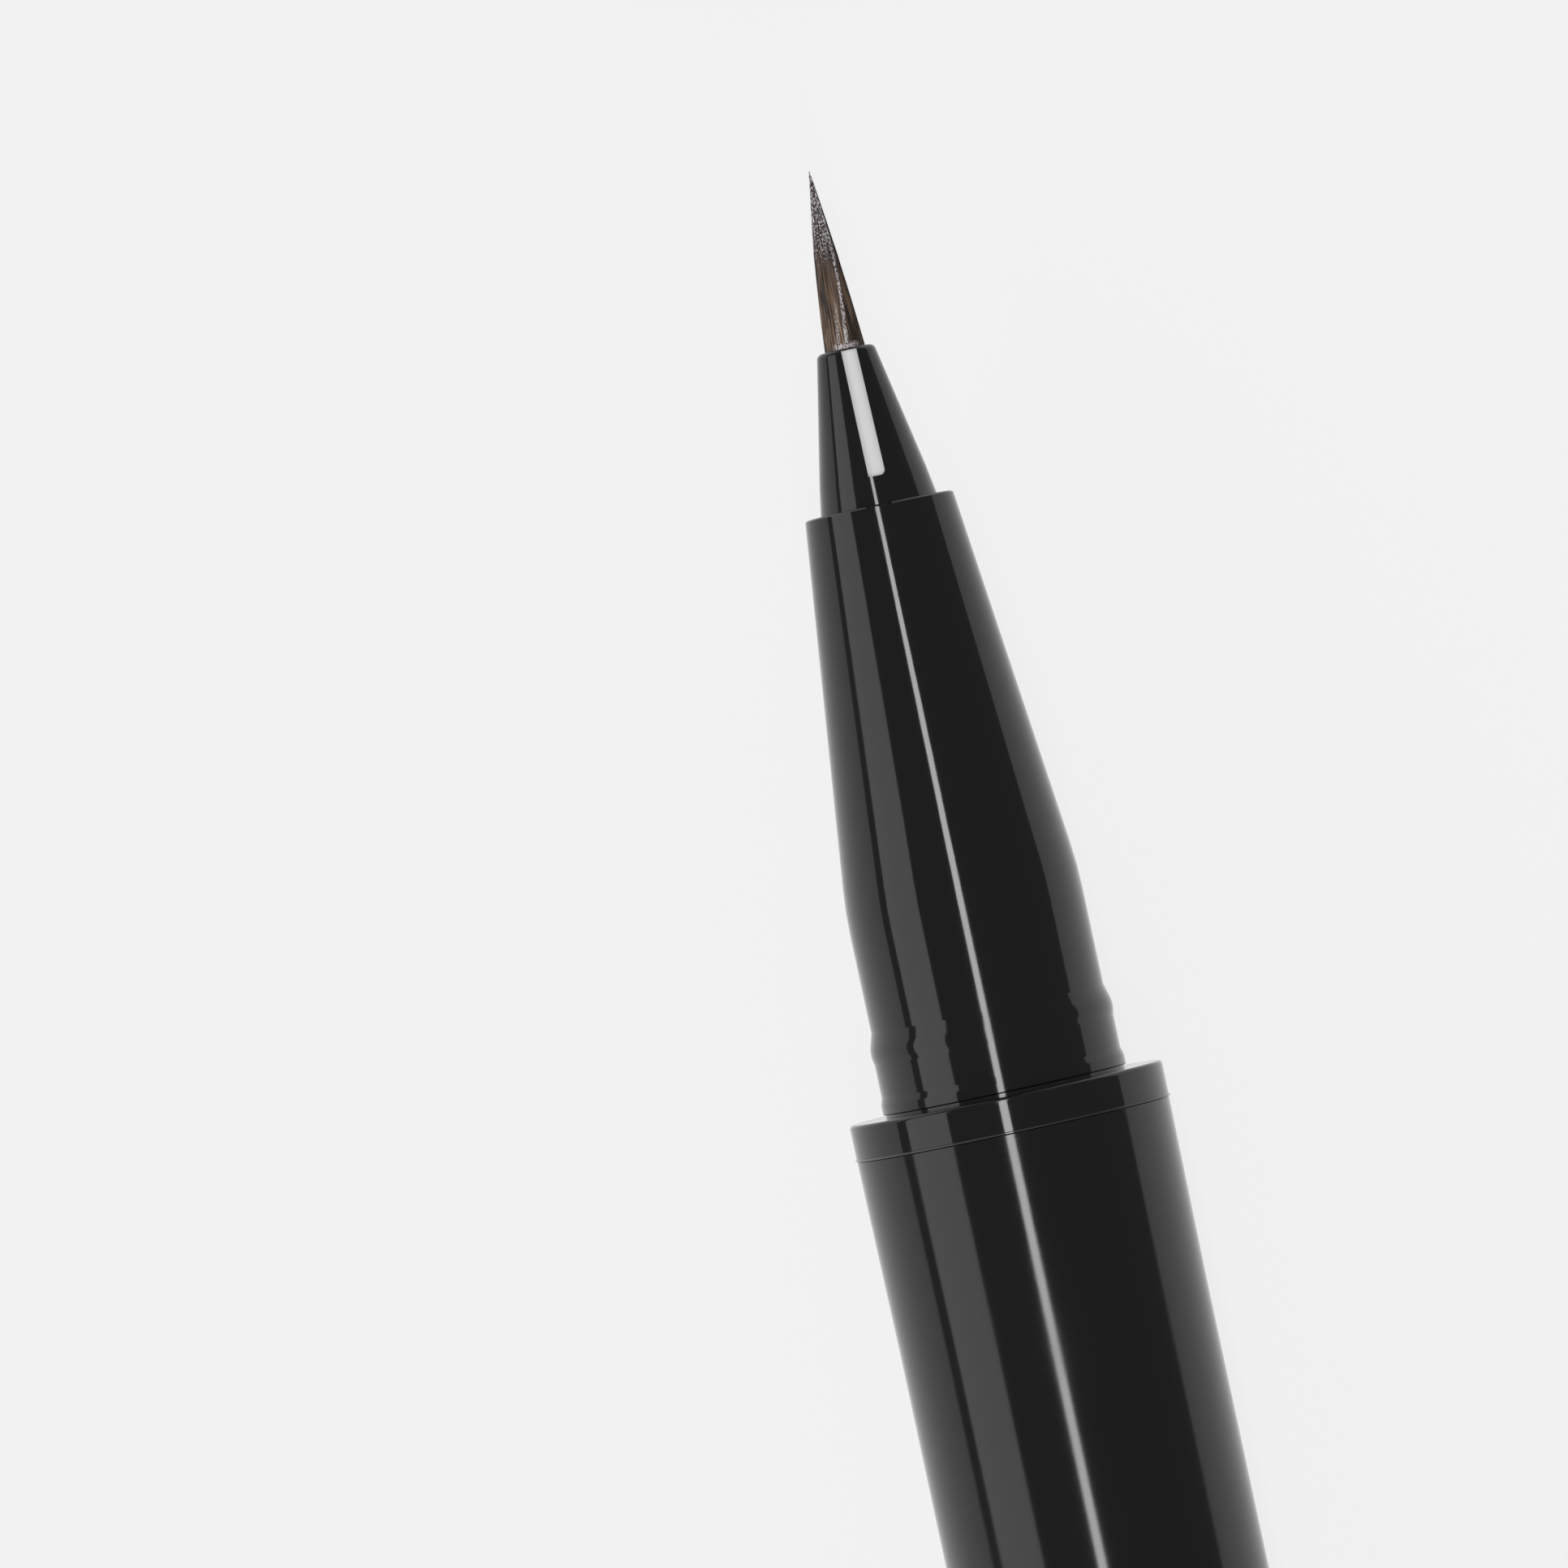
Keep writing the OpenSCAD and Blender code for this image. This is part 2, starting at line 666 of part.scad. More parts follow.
// Outer cap, drawn at its closed stations: a tube with a rounded closed top and three inner ribs
module cap_shell() {
    roof = cap_len - cap_top_t;
    bore_r = shell_bore_d / 2;
    color("black")
        on_cap() {
            turned(concat(
                [
                    [0, roof],
                    [bore_r, roof],
                    [bore_r, 0],
                    [cap_mouth_d / 2 - edge_break, 0],
                    [cap_mouth_d / 2, edge_break],
                    [cap_mouth_d / 2, cap_mouth_len],
                    [cap_waist_d / 2, cap_mouth_len + cap_swell_len],
                    [cap_top_d / 2, cap_top_start]
                ],
                arc([cap_top_d / 2 - cap_edge_r, cap_len - cap_edge_r], cap_edge_r, 0, 90),
                [[0, cap_len]]
            ));
            for (turn = [0 : 120 : 240])
                rotate([0, 0, turn])
                    translate([rib_inner_r, -rib_t / 2, inner_cap_end + press_clear])
                        cube([bore_r + rib_t / 2 - rib_inner_r, rib_t, roof + rib_t / 2 - inner_cap_end]);
        }
}

// Inner cap: its skirt snaps over the ring on the grip, and its cup seals on the taper round the brush
module cap_inner() {
    wide_r = shoulder_d / 2 + cap_clear;
    bead_r = max(snap_d, shoulder_d) / 2 + snap_clear;
    bead_step = wide_r - bead_r;
    bead_rear = shoulder_gap + shoulder_w + shoulder_slope + bead_step;
    snap_front = snap_pos + snap_w / 2 + snap_front_len;
    straight_r = grip_d / 2 + cap_clear;
    land_rear = grip_taper_start
        + (grip_len - grip_taper_start) * (grip_d - cup_bore_d + 2 * snap_clear) / (grip_d - grip_front_d);
    slack_rear = land_rear - land_len;
    color("white")
        on_cap()
            turned([
                [wide_r, skirt_inset],
                [wide_r, bead_rear],
                [bead_r, bead_rear + bead_step],
                [bead_r, bead_rear + bead_step + bead_w],
                [wide_r, bead_rear + 2 * bead_step + bead_w],
                [wide_r, snap_front],
                [straight_r, snap_front + cap_clear],
                [straight_r, grip_taper_start],
                [grip_d_at(slack_rear) / 2 + cap_clear, slack_rear],
                [grip_d_at(slack_rear) / 2 + snap_clear, slack_rear + cap_clear],
                [cup_bore_d / 2, land_rear],
                [cup_bore_d / 2, cup_end],
                [0, cup_end],
                [0, inner_cap_end],
                [cup_d / 2, inner_cap_end],
                [cup_d / 2, skirt_end + land_len],
                [skirt_d / 2, skirt_end],
                [skirt_d / 2, skirt_inset]
            ]);
}

cap_shell();
cap_inner();
brush();
brush_root();
brush_holder();
nozzle();
wick();
grip();
collector();
collar_ring();
barrel();
tank_gasket();
tank();
mixing_ball();
tank_stopper();
stopper_seal();
tail_plug();
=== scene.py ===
"""Looks of a liquid eyeliner pen that lies open on a white table, its cap drawn off in line with it.

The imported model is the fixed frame. The mouldings that show are turned again here with rounded edges,
the bristles are laid by Geometry Nodes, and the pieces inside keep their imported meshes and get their
finishes. Sizes in the classes are in millimetres, and meshes are made in metres.
"""

import logging
import math
from collections.abc import Callable
from dataclasses import dataclass
from enum import Enum
from typing import Union

import bpy
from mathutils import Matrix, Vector


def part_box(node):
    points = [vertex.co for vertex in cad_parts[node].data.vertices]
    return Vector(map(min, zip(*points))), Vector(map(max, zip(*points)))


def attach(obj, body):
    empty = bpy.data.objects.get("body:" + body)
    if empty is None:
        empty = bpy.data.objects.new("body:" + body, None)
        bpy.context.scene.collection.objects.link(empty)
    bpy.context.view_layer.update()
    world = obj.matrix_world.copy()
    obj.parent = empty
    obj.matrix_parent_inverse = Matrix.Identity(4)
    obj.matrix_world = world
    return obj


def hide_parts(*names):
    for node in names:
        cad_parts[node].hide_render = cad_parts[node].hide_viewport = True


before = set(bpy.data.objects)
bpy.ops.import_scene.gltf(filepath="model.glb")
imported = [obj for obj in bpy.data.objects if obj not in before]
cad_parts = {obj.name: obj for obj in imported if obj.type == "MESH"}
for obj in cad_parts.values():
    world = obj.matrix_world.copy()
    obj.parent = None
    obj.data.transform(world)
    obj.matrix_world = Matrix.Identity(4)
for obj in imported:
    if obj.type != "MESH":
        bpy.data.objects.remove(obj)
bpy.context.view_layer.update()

MM = 0.001
LOG = logging.getLogger("eyeliner_pen")

Colour = tuple[float, float, float]
Triple = tuple[float, float, float]
Span = tuple[float, float]
Outline = list[Triple]
Amount = Union["Wire", float]

# Sockets that share their names with others on the same node go by their numbers
MIX_FACTOR, MIX_FIRST, MIX_SECOND, MIX_RESULT = 0, 6, 7, 2
RANDOM_LOW, RANDOM_HIGH, RANDOM_RESULT = 2, 3, 1

NOISE_MIDDLE = 0.5
SHARP_ANGLE = math.radians(28.0)
QUARTER_TURN = 90.0


class Body(Enum):
    """The bodies that the made pieces ride on."""

    PEN = "pen"
    CAP = "cap"


class Detail(Enum):
    """Octaves of a noise."""

    PLAIN = 1.0
    SOFT = 2.0
    RICH = 3.0
    DENSE = 4.0


class Draw(Enum):
    """What each random draw of the bristles is for."""

    SHORTFALL = 1
    THICKNESS = 2
    TURN = 3
    STRAY = 4
    TONE = 5


class Wire:
    """An output socket on which arithmetic adds Math nodes."""

    def __init__(self, bench: "Bench", socket: bpy.types.NodeSocket) -> None:
        """Args: bench: the tree's workbench. socket: the output that this stands for."""
        self.bench = bench
        self.socket = socket

    def _math(self, operation: str, first: Amount, second: Amount) -> "Wire":
        """Args: operation: the Math node's. first, second: its values. Returns: the result."""
        return self.bench.wire("ShaderNodeMath", {"operation": operation}, {0: first, 1: second})

    def __add__(self, other: Amount) -> "Wire":
        """Returns: the sum."""
        return self._math("ADD", self, other)

    def __radd__(self, other: float) -> "Wire":
        """Returns: the sum."""
        return self._math("ADD", other, self)

    def __sub__(self, other: Amount) -> "Wire":
        """Returns: the difference."""
        return self._math("SUBTRACT", self, other)

    def __rsub__(self, other: float) -> "Wire":
        """Returns: the difference, from a number."""
        return self._math("SUBTRACT", other, self)

    def __mul__(self, other: Amount) -> "Wire":
        """Returns: the product."""
        return self._math("MULTIPLY", self, other)

    def __rmul__(self, other: float) -> "Wire":
        """Returns: the product."""
        return self._math("MULTIPLY", other, self)

    def __truediv__(self, other: Amount) -> "Wire":
        """Returns: the quotient."""
        return self._math("DIVIDE", self, other)

    def __rtruediv__(self, other: float) -> "Wire":
        """Returns: the quotient, of a number."""
        return self._math("DIVIDE", other, self)

    def __pow__(self, other: Amount) -> "Wire":
        """Returns: the power."""
        return self._math("POWER", self, other)

    def __rpow__(self, other: float) -> "Wire":
        """Returns: the power of a number."""
        return self._math("POWER", other, self)

    def least(self, other: Amount) -> "Wire":
        """Returns: the smaller of the two."""
        return self._math("MINIMUM", self, other)

    def most(self, other: Amount) -> "Wire":
        """Returns: the greater of the two."""
        return self._math("MAXIMUM", self, other)


class Bench:
    """Wires one node tree, of a material, the world or Geometry Nodes."""

    def __init__(self, tree: bpy.types.NodeTree) -> None:
        """Args: tree: the tree, which is emptied."""
        self.tree = tree
        tree.nodes.clear()

    def node(self, kind: str, settings: dict | None = None, values: dict | None = None) -> bpy.types.Node:
        """Adds a node.

        Args:
            kind: the node's type.
            settings: its properties, and stops for a colour ramp, which are set first.
            values: values or wires, by the input's name or number.

        Returns:
            The node.
        """
        made = self.tree.nodes.new(kind)
        for name, value in (settings or {}).items():
            if name == "stops":
                self._set_stops(made.color_ramp, value)
            else:
                setattr(made, name, value)
        for name, value in (values or {}).items():
            if isinstance(value, Wire):
                self.tree.links.new(value.socket, made.inputs[name])
            else:
                made.inputs[name].default_value = value
        return made

    def wire(self, kind: str, settings: dict | None = None, values: dict | None = None,
             output: str | int = 0) -> Wire:
        """Adds a node as node() does. Returns: one of its outputs."""
        return Wire(self, self.node(kind, settings, values).outputs[output])

    @staticmethod
    def _set_stops(ramp: bpy.types.ColorRamp, stops: list[tuple[float, Colour]]) -> None:
        """Sets a ramp's stops.

        Args:
            ramp: the ramp.
            stops: places and colours, in order.
        """
        while len(ramp.elements) < len(stops):
            ramp.elements.new(1.0)
        for element, (place, colour) in zip(ramp.elements, stops):
            element.position = place
            element.color = (*colour, 1.0)

    def mix(self, factor: Amount, first: Wire | Colour, second: Wire | Colour) -> Wire:
        """Mixes two colours.

        Args:
            factor: the share of second.
            first, second: the colours.

        Returns:
            The mixed colour.
        """
        a, b = (c if isinstance(c, Wire) else (*c, 1.0) for c in (first, second))
        values = {MIX_FACTOR: factor, MIX_FIRST: a, MIX_SECOND: b}
        return self.wire("ShaderNodeMix", {"data_type": "RGBA"}, values, MIX_RESULT)

    def ramp(self, value: Amount, low: float, high: float, start: float = 0.0, end: float = 1.0) -> Wire:
        """Args: value: the input. low, high: its range. start, end: the output's. Returns: a smooth step."""
        return self.wire("ShaderNodeMapRange", {"interpolation_type": "SMOOTHSTEP"},
                         {"Value": value, "From Min": low, "From Max": high, "To Min": start, "To Max": end})

    def distance(self, value: Wire, other: Amount) -> Wire:
        """Args: value, other: two amounts. Returns: how far apart they are."""
        return (value - other).most(other - value)

    def place(self, stretch: Triple = (1.0, 1.0, 1.0)) -> Wire:
        """Args: stretch: factors on the object's own coordinates. Returns: the stretched point."""
        point = self.wire("ShaderNodeTexCoord", output="Object")
        return self.wire("ShaderNodeVectorMath", {"operation": "MULTIPLY"}, {0: point, 1: stretch})

    def noise(self, point: Wire, scale: float, detail: Detail = Detail.SOFT) -> Wire:
        """Args: point: where. scale: cells a metre. detail: octaves. Returns: noise from 0 to 1."""
        return self.wire("ShaderNodeTexNoise", {},
                         {"Vector": point, "Scale": scale, "Detail": detail.value})

    def attribute(self, name: str) -> Wire:
        """Args: name: a number kept in the mesh. Returns: it."""
        return self.wire("ShaderNodeAttribute", {"attribute_name": name}, output="Fac")

    def bump(self, height: Wire, distance: float) -> Wire:
        """Args: height: from 0 to 1. distance: its size in metres. Returns: the normal."""
        return self.wire("ShaderNodeBump", {}, {"Height": height, "Strength": 1.0, "Distance": distance})


@dataclass(frozen=True)
class Finish:
    """A surface finish, of which a subclass wires the shader."""

    title: str

    def material(self) -> bpy.types.Material:
        """Makes the material on its first use.

        Returns:
            The finish as a material.
        """
        made = bpy.data.materials.get(self.title)
        if made is None:
            made = bpy.data.materials.new(self.title)
            made.use_nodes = True
            bench = Bench(made.node_tree)
            shader = bench.wire("ShaderNodeBsdfPrincipled", {}, self.sockets(bench))
            bench.node("ShaderNodeOutputMaterial", {}, {"Surface": shader})
        return made

    def sockets(self, bench: Bench) -> dict:
        """Args: bench: the material's tree. Returns: values and wires of the shader's inputs."""
        raise NotImplementedError


@dataclass(frozen=True)
class BlackGloss(Finish):
    """Glossy black plastic or lacquer, with a fine peel, faint drag lines and edges rubbed by handling.

    Cells are counted a metre. Heights are shares of a millimetre. A range gives where a noise starts to
    show and where it shows in full.
    """

    colour: Colour = (0.0042, 0.0042, 0.0044)
    ior: float = 1.5
    roughness: float = 0.07
    smear: float = 0.05
    smear_range: Span = (0.35, 0.8)
    cloud_cells: float = 140.0
    grain: float = 0.02
    grain_cells: float = 9000.0
    peel: float = 0.0012
    peel_cells: float = 900.0
    drag: float = 0.0006
    drag_cells: float = 2400.0
    drag_stretch: Triple = (0.03, 1.0, 1.0)
    rub: float = 0.05
    rub_cells: float = 1600.0
    rub_range: Span = (0.4, 0.75)
    rub_roughness: float = 0.12
    rubbed: Colour = (0.09, 0.09, 0.095)
    # Painted highlight: the pale lip colour stands for a bright line along the collar's seam.
    lip: Colour = (0.13, 0.13, 0.132)
    lip_range: Span = (0.25, 0.75)
    lip_strengths: Span = (0.4, 1.0)

    def sockets(self, bench: Bench) -> dict:
        """Wires the black's peel, drag lines, rubbed edges, and the painted highlight on the collar's lip.

        Args:
            bench: the material's tree.

        Returns:
            Values and wires of the shader's inputs.
        """
        point = bench.place()
        drawn = bench.noise(bench.place(self.drag_stretch), self.drag_cells, Detail.RICH)
        cloud = bench.noise(point, self.cloud_cells, Detail.RICH)
        grain = bench.noise(point, self.grain_cells, Detail.PLAIN)
        worn = bench.ramp(bench.noise(point, self.rub_cells, Detail.RICH), *self.rub_range)
        edge = bench.attribute("edge") * worn
        body = bench.mix(edge * self.rub, self.colour, self.rubbed)
        # Painted highlight on the lip, weighted paler on one side of the pen.
        lip = bench.attribute("lip") * bench.ramp(cloud, *self.lip_range, *self.lip_strengths)
        height = bench.noise(point, self.peel_cells) * self.peel + drawn * self.drag
        smear = bench.ramp(cloud, *self.smear_range) * self.smear
        return {
            "Base Color": bench.mix(lip, body, self.lip),
            "Roughness": self.roughness + smear + (grain - NOISE_MIDDLE) * self.grain
            + edge * self.rub_roughness,
            "Normal": bench.bump(height, MM),
            "IOR": self.ior,
        }


@dataclass(frozen=True)
class GlintLine:
    """A painted highlight line along the bristles, standing for a wet glint.

    It has the side of the bundle where it starts at the foot, its drift and its turn towards the point, the
    share of the length that it reaches, and its strength.
    """

    start: float
    drift: float
    turn: float
    reach: float
    strength: float


@dataclass(frozen=True)
class Bristles(Finish):
    """Wet dyed filaments: golden brown at the root, dark in the middle and violet-grey at the point.

    Pale lines, fine specks, a pale arc at the foot and a golden band are painted highlights that stand for
    wet glints, and one edge of the bundle and the gaps between the locks get painted shade. Places along the
    brush are shares of its length from the foot, and sides go from -1 to 1 across the bundle. A range gives
    where something starts to show and where it shows in full.
    """

    root: Colour = (0.27, 0.17, 0.108)
    middle: Colour = (0.13, 0.084, 0.066)
    point: Colour = (0.13, 0.094, 0.104)
    shade: Colour = (0.012, 0.009, 0.008)
    # Painted highlight: the golden colour of a lit band across the bundle.
    gold_highlight: Colour = (0.56, 0.38, 0.27)
    # Painted highlight: the near-white colour of the glints mixed into the bristles' colour.
    painted_glint: Colour = (1.0, 0.94, 0.95)
    ior: float = 1.55
    roughness: float = 0.25
    dye_stops: tuple[float, ...] = (0.0, 0.36, 0.52, 0.74, 1.0)
    dye_spread: float = 0.12
    lock_stretch: Triple = (5.0, 5.0, 0.8)
    lock_range: Span = (0.42, 0.60)
    lock_shade: float = 0.7
    strand_power: float = 1.5
    strand_shade: float = 0.45
    # Painted shade: one edge of the bundle is darkened from near the foot to the point.
    shaded_edge_range: Span = (-0.82, -0.95)
    shaded_edge_along: Span = (0.1, 0.3)
    darkest: float = 0.95
    # Where the painted golden highlight lies across and along the bundle, and how far it lifts the painted
    # shade.
    gold_highlight_side: float = 0.10
    gold_highlight_drift: float = 0.5
    gold_highlight_range: Span = (0.36, 0.06)
    gold_highlight_along: Span = (0.56, 0.44)
    gold_highlight_strands: Span = (0.8, 0.2)
    gold_highlight_clear: float = 0.5
    grain_stretch: Triple = (0.7, 1.0, 1.0)
    grain_cells: float = 17500.0
    grain_roughness: float = 0.1
    # Painted highlights: a pale arc at the foot, pale lines and beaded specks stand for wet glints.
    glint_foot_side: float = -0.05
    glint_foot_range: Span = (0.8, 0.35)
    glint_foot_along: Span = (0.055, 0.035)
    glint_line_range: Span = (0.13, 0.05)
    glint_line_fade: float = 0.1
    bead_range: Span = (0.40, 0.50)
    glint_speck_side: float = 0.1
    glint_speck_tilt: float = -0.06
    glint_speck_range: Span = (0.50, 0.56)
    glint_speck_along: Span = (0.44, 0.68)
    glint_speck_sides: Span = (-0.9, -0.7)
    painted_glint_lines: tuple[GlintLine, ...] = (
        GlintLine(-0.07, -1.25, 0.5, 0.9, 1.0), GlintLine(0.36, -1.3, 0.0, 0.30, 0.5))

    def sockets(self, bench: Bench) -> dict:
        """Wires the bristles' colour, with its painted highlights and painted shade, and their gloss.

        Args:
            bench: the material's tree.

        Returns:
            Values and wires of the shader's inputs.
        """
        along, strand, side = (bench.attribute(name) for name in ("along", "strand", "side"))
        grain = bench.noise(bench.place(self.grain_stretch), self.grain_cells, Detail.PLAIN)
        tone = self._tone(bench, along, strand, side)
        return {
            # The colour carries painted highlights that stand for wet glints on the bristles.
            "Base Color": bench.mix(self._painted_glints(bench, along, side, grain), tone, self.painted_glint),
            "Roughness": self.roughness + grain * self.grain_roughness,
            "IOR": self.ior,
        }

    def _tone(self, bench: Bench, along: Wire, strand: Wire, side: Wire) -> Wire:
        """Mixes the dye with a painted golden highlight, painted shade between the locks and along one edge,
        and darker filaments at random.

        Args:
            bench: the material's tree.
            along: the place along the brush.
            strand: each filament's own number from 0 to 1.
            side: the place across the bundle.

        Returns:
            The colour without the painted highlight lines and specks.
        """
        colours = (self.root, self.root, self.middle, self.point, self.point)
        dye = bench.wire("ShaderNodeValToRGB", {"stops": list(zip(self.dye_stops, colours))},
                         {"Fac": along + (strand - NOISE_MIDDLE) * self.dye_spread})
        x, y, z = self.lock_stretch
        lock = bench.wire("ShaderNodeCombineXYZ", {}, {"X": along * x, "Y": side * y, "Z": strand * z})
        tuft = bench.noise(lock, 1.0, Detail.DENSE)
        # Painted shade between the locks, with darker filaments at random.
        dark = (bench.ramp(tuft, *self.lock_range) * self.lock_shade
                + strand ** self.strand_power * self.strand_shade)
        # Painted shade along one edge of the bundle.
        shaded_edge = bench.ramp(side, *self.shaded_edge_range) * bench.ramp(along, *self.shaded_edge_along)
        # Painted golden highlight in a band across the bundle, which also lifts the painted shade there.
        off = bench.distance(side + along * self.gold_highlight_drift, self.gold_highlight_side)
        gold_highlight = bench.ramp(off, *self.gold_highlight_range) * bench.ramp(along, *self.gold_highlight_along)
        tone = bench.mix(gold_highlight * bench.ramp(strand, *self.gold_highlight_strands), dye, self.gold_highlight)
        shaded = (dark * (1.0 - gold_highlight * self.gold_highlight_clear) + shaded_edge).least(self.darkest)
        return bench.mix(shaded, tone, self.shade)

    def _painted_glints(self, bench: Bench, along: Wire, side: Wire, grain: Wire) -> Wire:
        """Wires the painted highlights: a pale arc at the foot, pale lines and specks that stand for wet
        glints.

        Args:
            bench: the material's tree.
            along: the place along the brush.
            side: the place across the bundle.
            grain: the noise that breaks the lines into beads.

        Returns:
            How strong the painted highlight is at each spot.
        """
        # Painted highlight: a pale arc at the foot of the bundle.
        foot = bench.ramp(bench.distance(side, self.glint_foot_side), *self.glint_foot_range)
        lit = foot * bench.ramp(along, *self.glint_foot_along)
        for line in self.painted_glint_lines:
            middle = along * line.drift + along * along * line.turn + line.start
            near = bench.ramp(bench.distance(side, middle), *self.glint_line_range)
            reached = bench.ramp(along, line.reach, line.reach - self.glint_line_fade)
            lit = lit.most(near * reached * line.strength)
        specks = bench.ramp(grain + (side + self.glint_speck_side) * self.glint_speck_tilt, *self.glint_speck_range)
        shown = bench.ramp(along, *self.glint_speck_along) * bench.ramp(side, *self.glint_speck_sides)
        return (lit * bench.ramp(grain, *self.bead_range)).most(specks * shown)


@dataclass(frozen=True)
class Moulding(Finish):
    """Plain moulded plastic with a fine grain and soft clouds in its gloss."""

    colour: Colour = (0.88, 0.88, 0.88)
    roughness: float = 0.35
    grain: float = 0.0008
    ior: float = 1.49
    grain_cells: float = 5200.0
    cloud_cells: float = 420.0
    cloud_shade: float = 0.94
    cloud_share: float = 0.5
    cloud_roughness: float = 0.16

    def sockets(self, bench: Bench) -> dict:
        """Wires the plastic's clouds and grain.

        Args:
            bench: the material's tree.

        Returns:
            Values and wires of the shader's inputs.
        """
        point = bench.place()
        cloud = bench.noise(point, self.cloud_cells, Detail.RICH)
        shade = tuple(c * self.cloud_shade for c in self.colour)
        return {
            "Base Color": bench.mix(cloud * self.cloud_share, self.colour, shade),
            "Roughness": self.roughness + (cloud - NOISE_MIDDLE) * self.cloud_roughness,
            "Normal": bench.bump(bench.noise(point, self.grain_cells) * self.grain, MM),
            "IOR": self.ior,
        }


@dataclass(frozen=True)
class Fibre(Finish):
    """Bonded fibres that run along the pen, with long stains of ink."""

    colour: Colour = (0.62, 0.58, 0.50)
    ink: Colour = (0.02, 0.016, 0.016)
    stain: float = 0.7
    stain_cells: float = 600.0
    stain_stretch: Triple = (0.3, 1.0, 1.0)
    stain_range: Span = (0.2, 0.6)
    thread_cells: float = 9000.0
    thread_stretch: Triple = (0.03, 1.0, 1.0)
    thread_shade: float = 0.5
    thread_height: float = 0.02
    roughness: float = 0.62
    thread_roughness: float = 0.25

    def sockets(self, bench: Bench) -> dict:
        """Wires the threads and their stains.

        Args:
            bench: the material's tree.

        Returns:
            Values and wires of the shader's inputs.
        """
        threads = bench.noise(bench.place(self.thread_stretch), self.thread_cells, Detail.RICH)
        wet = bench.noise(bench.place(self.stain_stretch), self.stain_cells, Detail.RICH)
        stained = bench.mix(bench.ramp(wet, *self.stain_range) * self.stain, self.colour, self.ink)
        return {
            "Base Color": bench.mix(threads * self.thread_shade, stained, self.ink),
            "Roughness": self.roughness + threads * self.thread_roughness,
            "Normal": bench.bump(threads, self.thread_height * MM),
        }


@dataclass(frozen=True)
class Metal(Finish):
    """Polished steel with fine scuffs."""

    colour: Colour = (0.58, 0.57, 0.55)
    scuffed: Colour = (0.34, 0.33, 0.32)
    scuff: float = 0.4
    scuff_cells: float = 7000.0
    scuff_stretch: Triple = (1.0, 0.2, 1.0)
    scuff_roughness: float = 0.14
    roughness: float = 0.12

    def sockets(self, bench: Bench) -> dict:
        """Wires the steel's scuffs.

        Args:
            bench: the material's tree.

        Returns:
            Values and wires of the shader's inputs.
        """
        scuff = bench.noise(bench.place(self.scuff_stretch), self.scuff_cells, Detail.RICH)
        return {
            "Base Color": bench.mix(scuff * self.scuff, self.colour, self.scuffed),
            "Metallic": 1.0,
            "Roughness": self.roughness + scuff * self.scuff_roughness,
        }


@dataclass(frozen=True)
class Range:
    """The finishes of the pen, one of each."""

    lacquer: Finish = BlackGloss("black_lacquer", roughness=0.09, smear=0.06)
    gloss: Finish = BlackGloss("black_gloss_moulding", roughness=0.06, smear=0.04, peel=0.0009)
    bristles: Finish = Bristles("brown_bristles")
    white: Finish = Moulding("white_moulding", (0.93, 0.93, 0.93), 0.6)
    liner: Finish = Moulding("white_liner", (0.80, 0.80, 0.79), 0.42)
    milky: Finish = Moulding("milky_tank", (0.62, 0.64, 0.64), 0.3)
    acetal: Finish = Moulding("grey_collector", (0.46, 0.47, 0.48), 0.45)
    rubber: Finish = Moulding("seal_rubber", (0.035, 0.033, 0.032), 0.6, 0.002)
    wick: Finish = Fibre("wick_fibre")
    root: Finish = Fibre("fused_root", (0.10, 0.066, 0.045), stain=0.4)
    steel: Finish = Metal("ball_steel")


@dataclass(frozen=True)
class Axis:
    """The pen's axis, along X, with stations in millimetres from the seam where the closed cap ends."""

    seam: float
    height: float

    @staticmethod
    def of_frame() -> "Axis":
        """Returns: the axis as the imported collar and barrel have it."""
        low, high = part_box("barrel")
        return Axis(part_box("collar_ring")[1].x / MM, (low.z + high.z) / 2 / MM)

    def at(self, station: float, across: float = 0.0, up: float = 0.0) -> Vector:
        """Args: station, across, up: from the seam and the axis. Returns: the point in metres."""
        return Vector((self.seam + station, across, self.height + up)) * MM


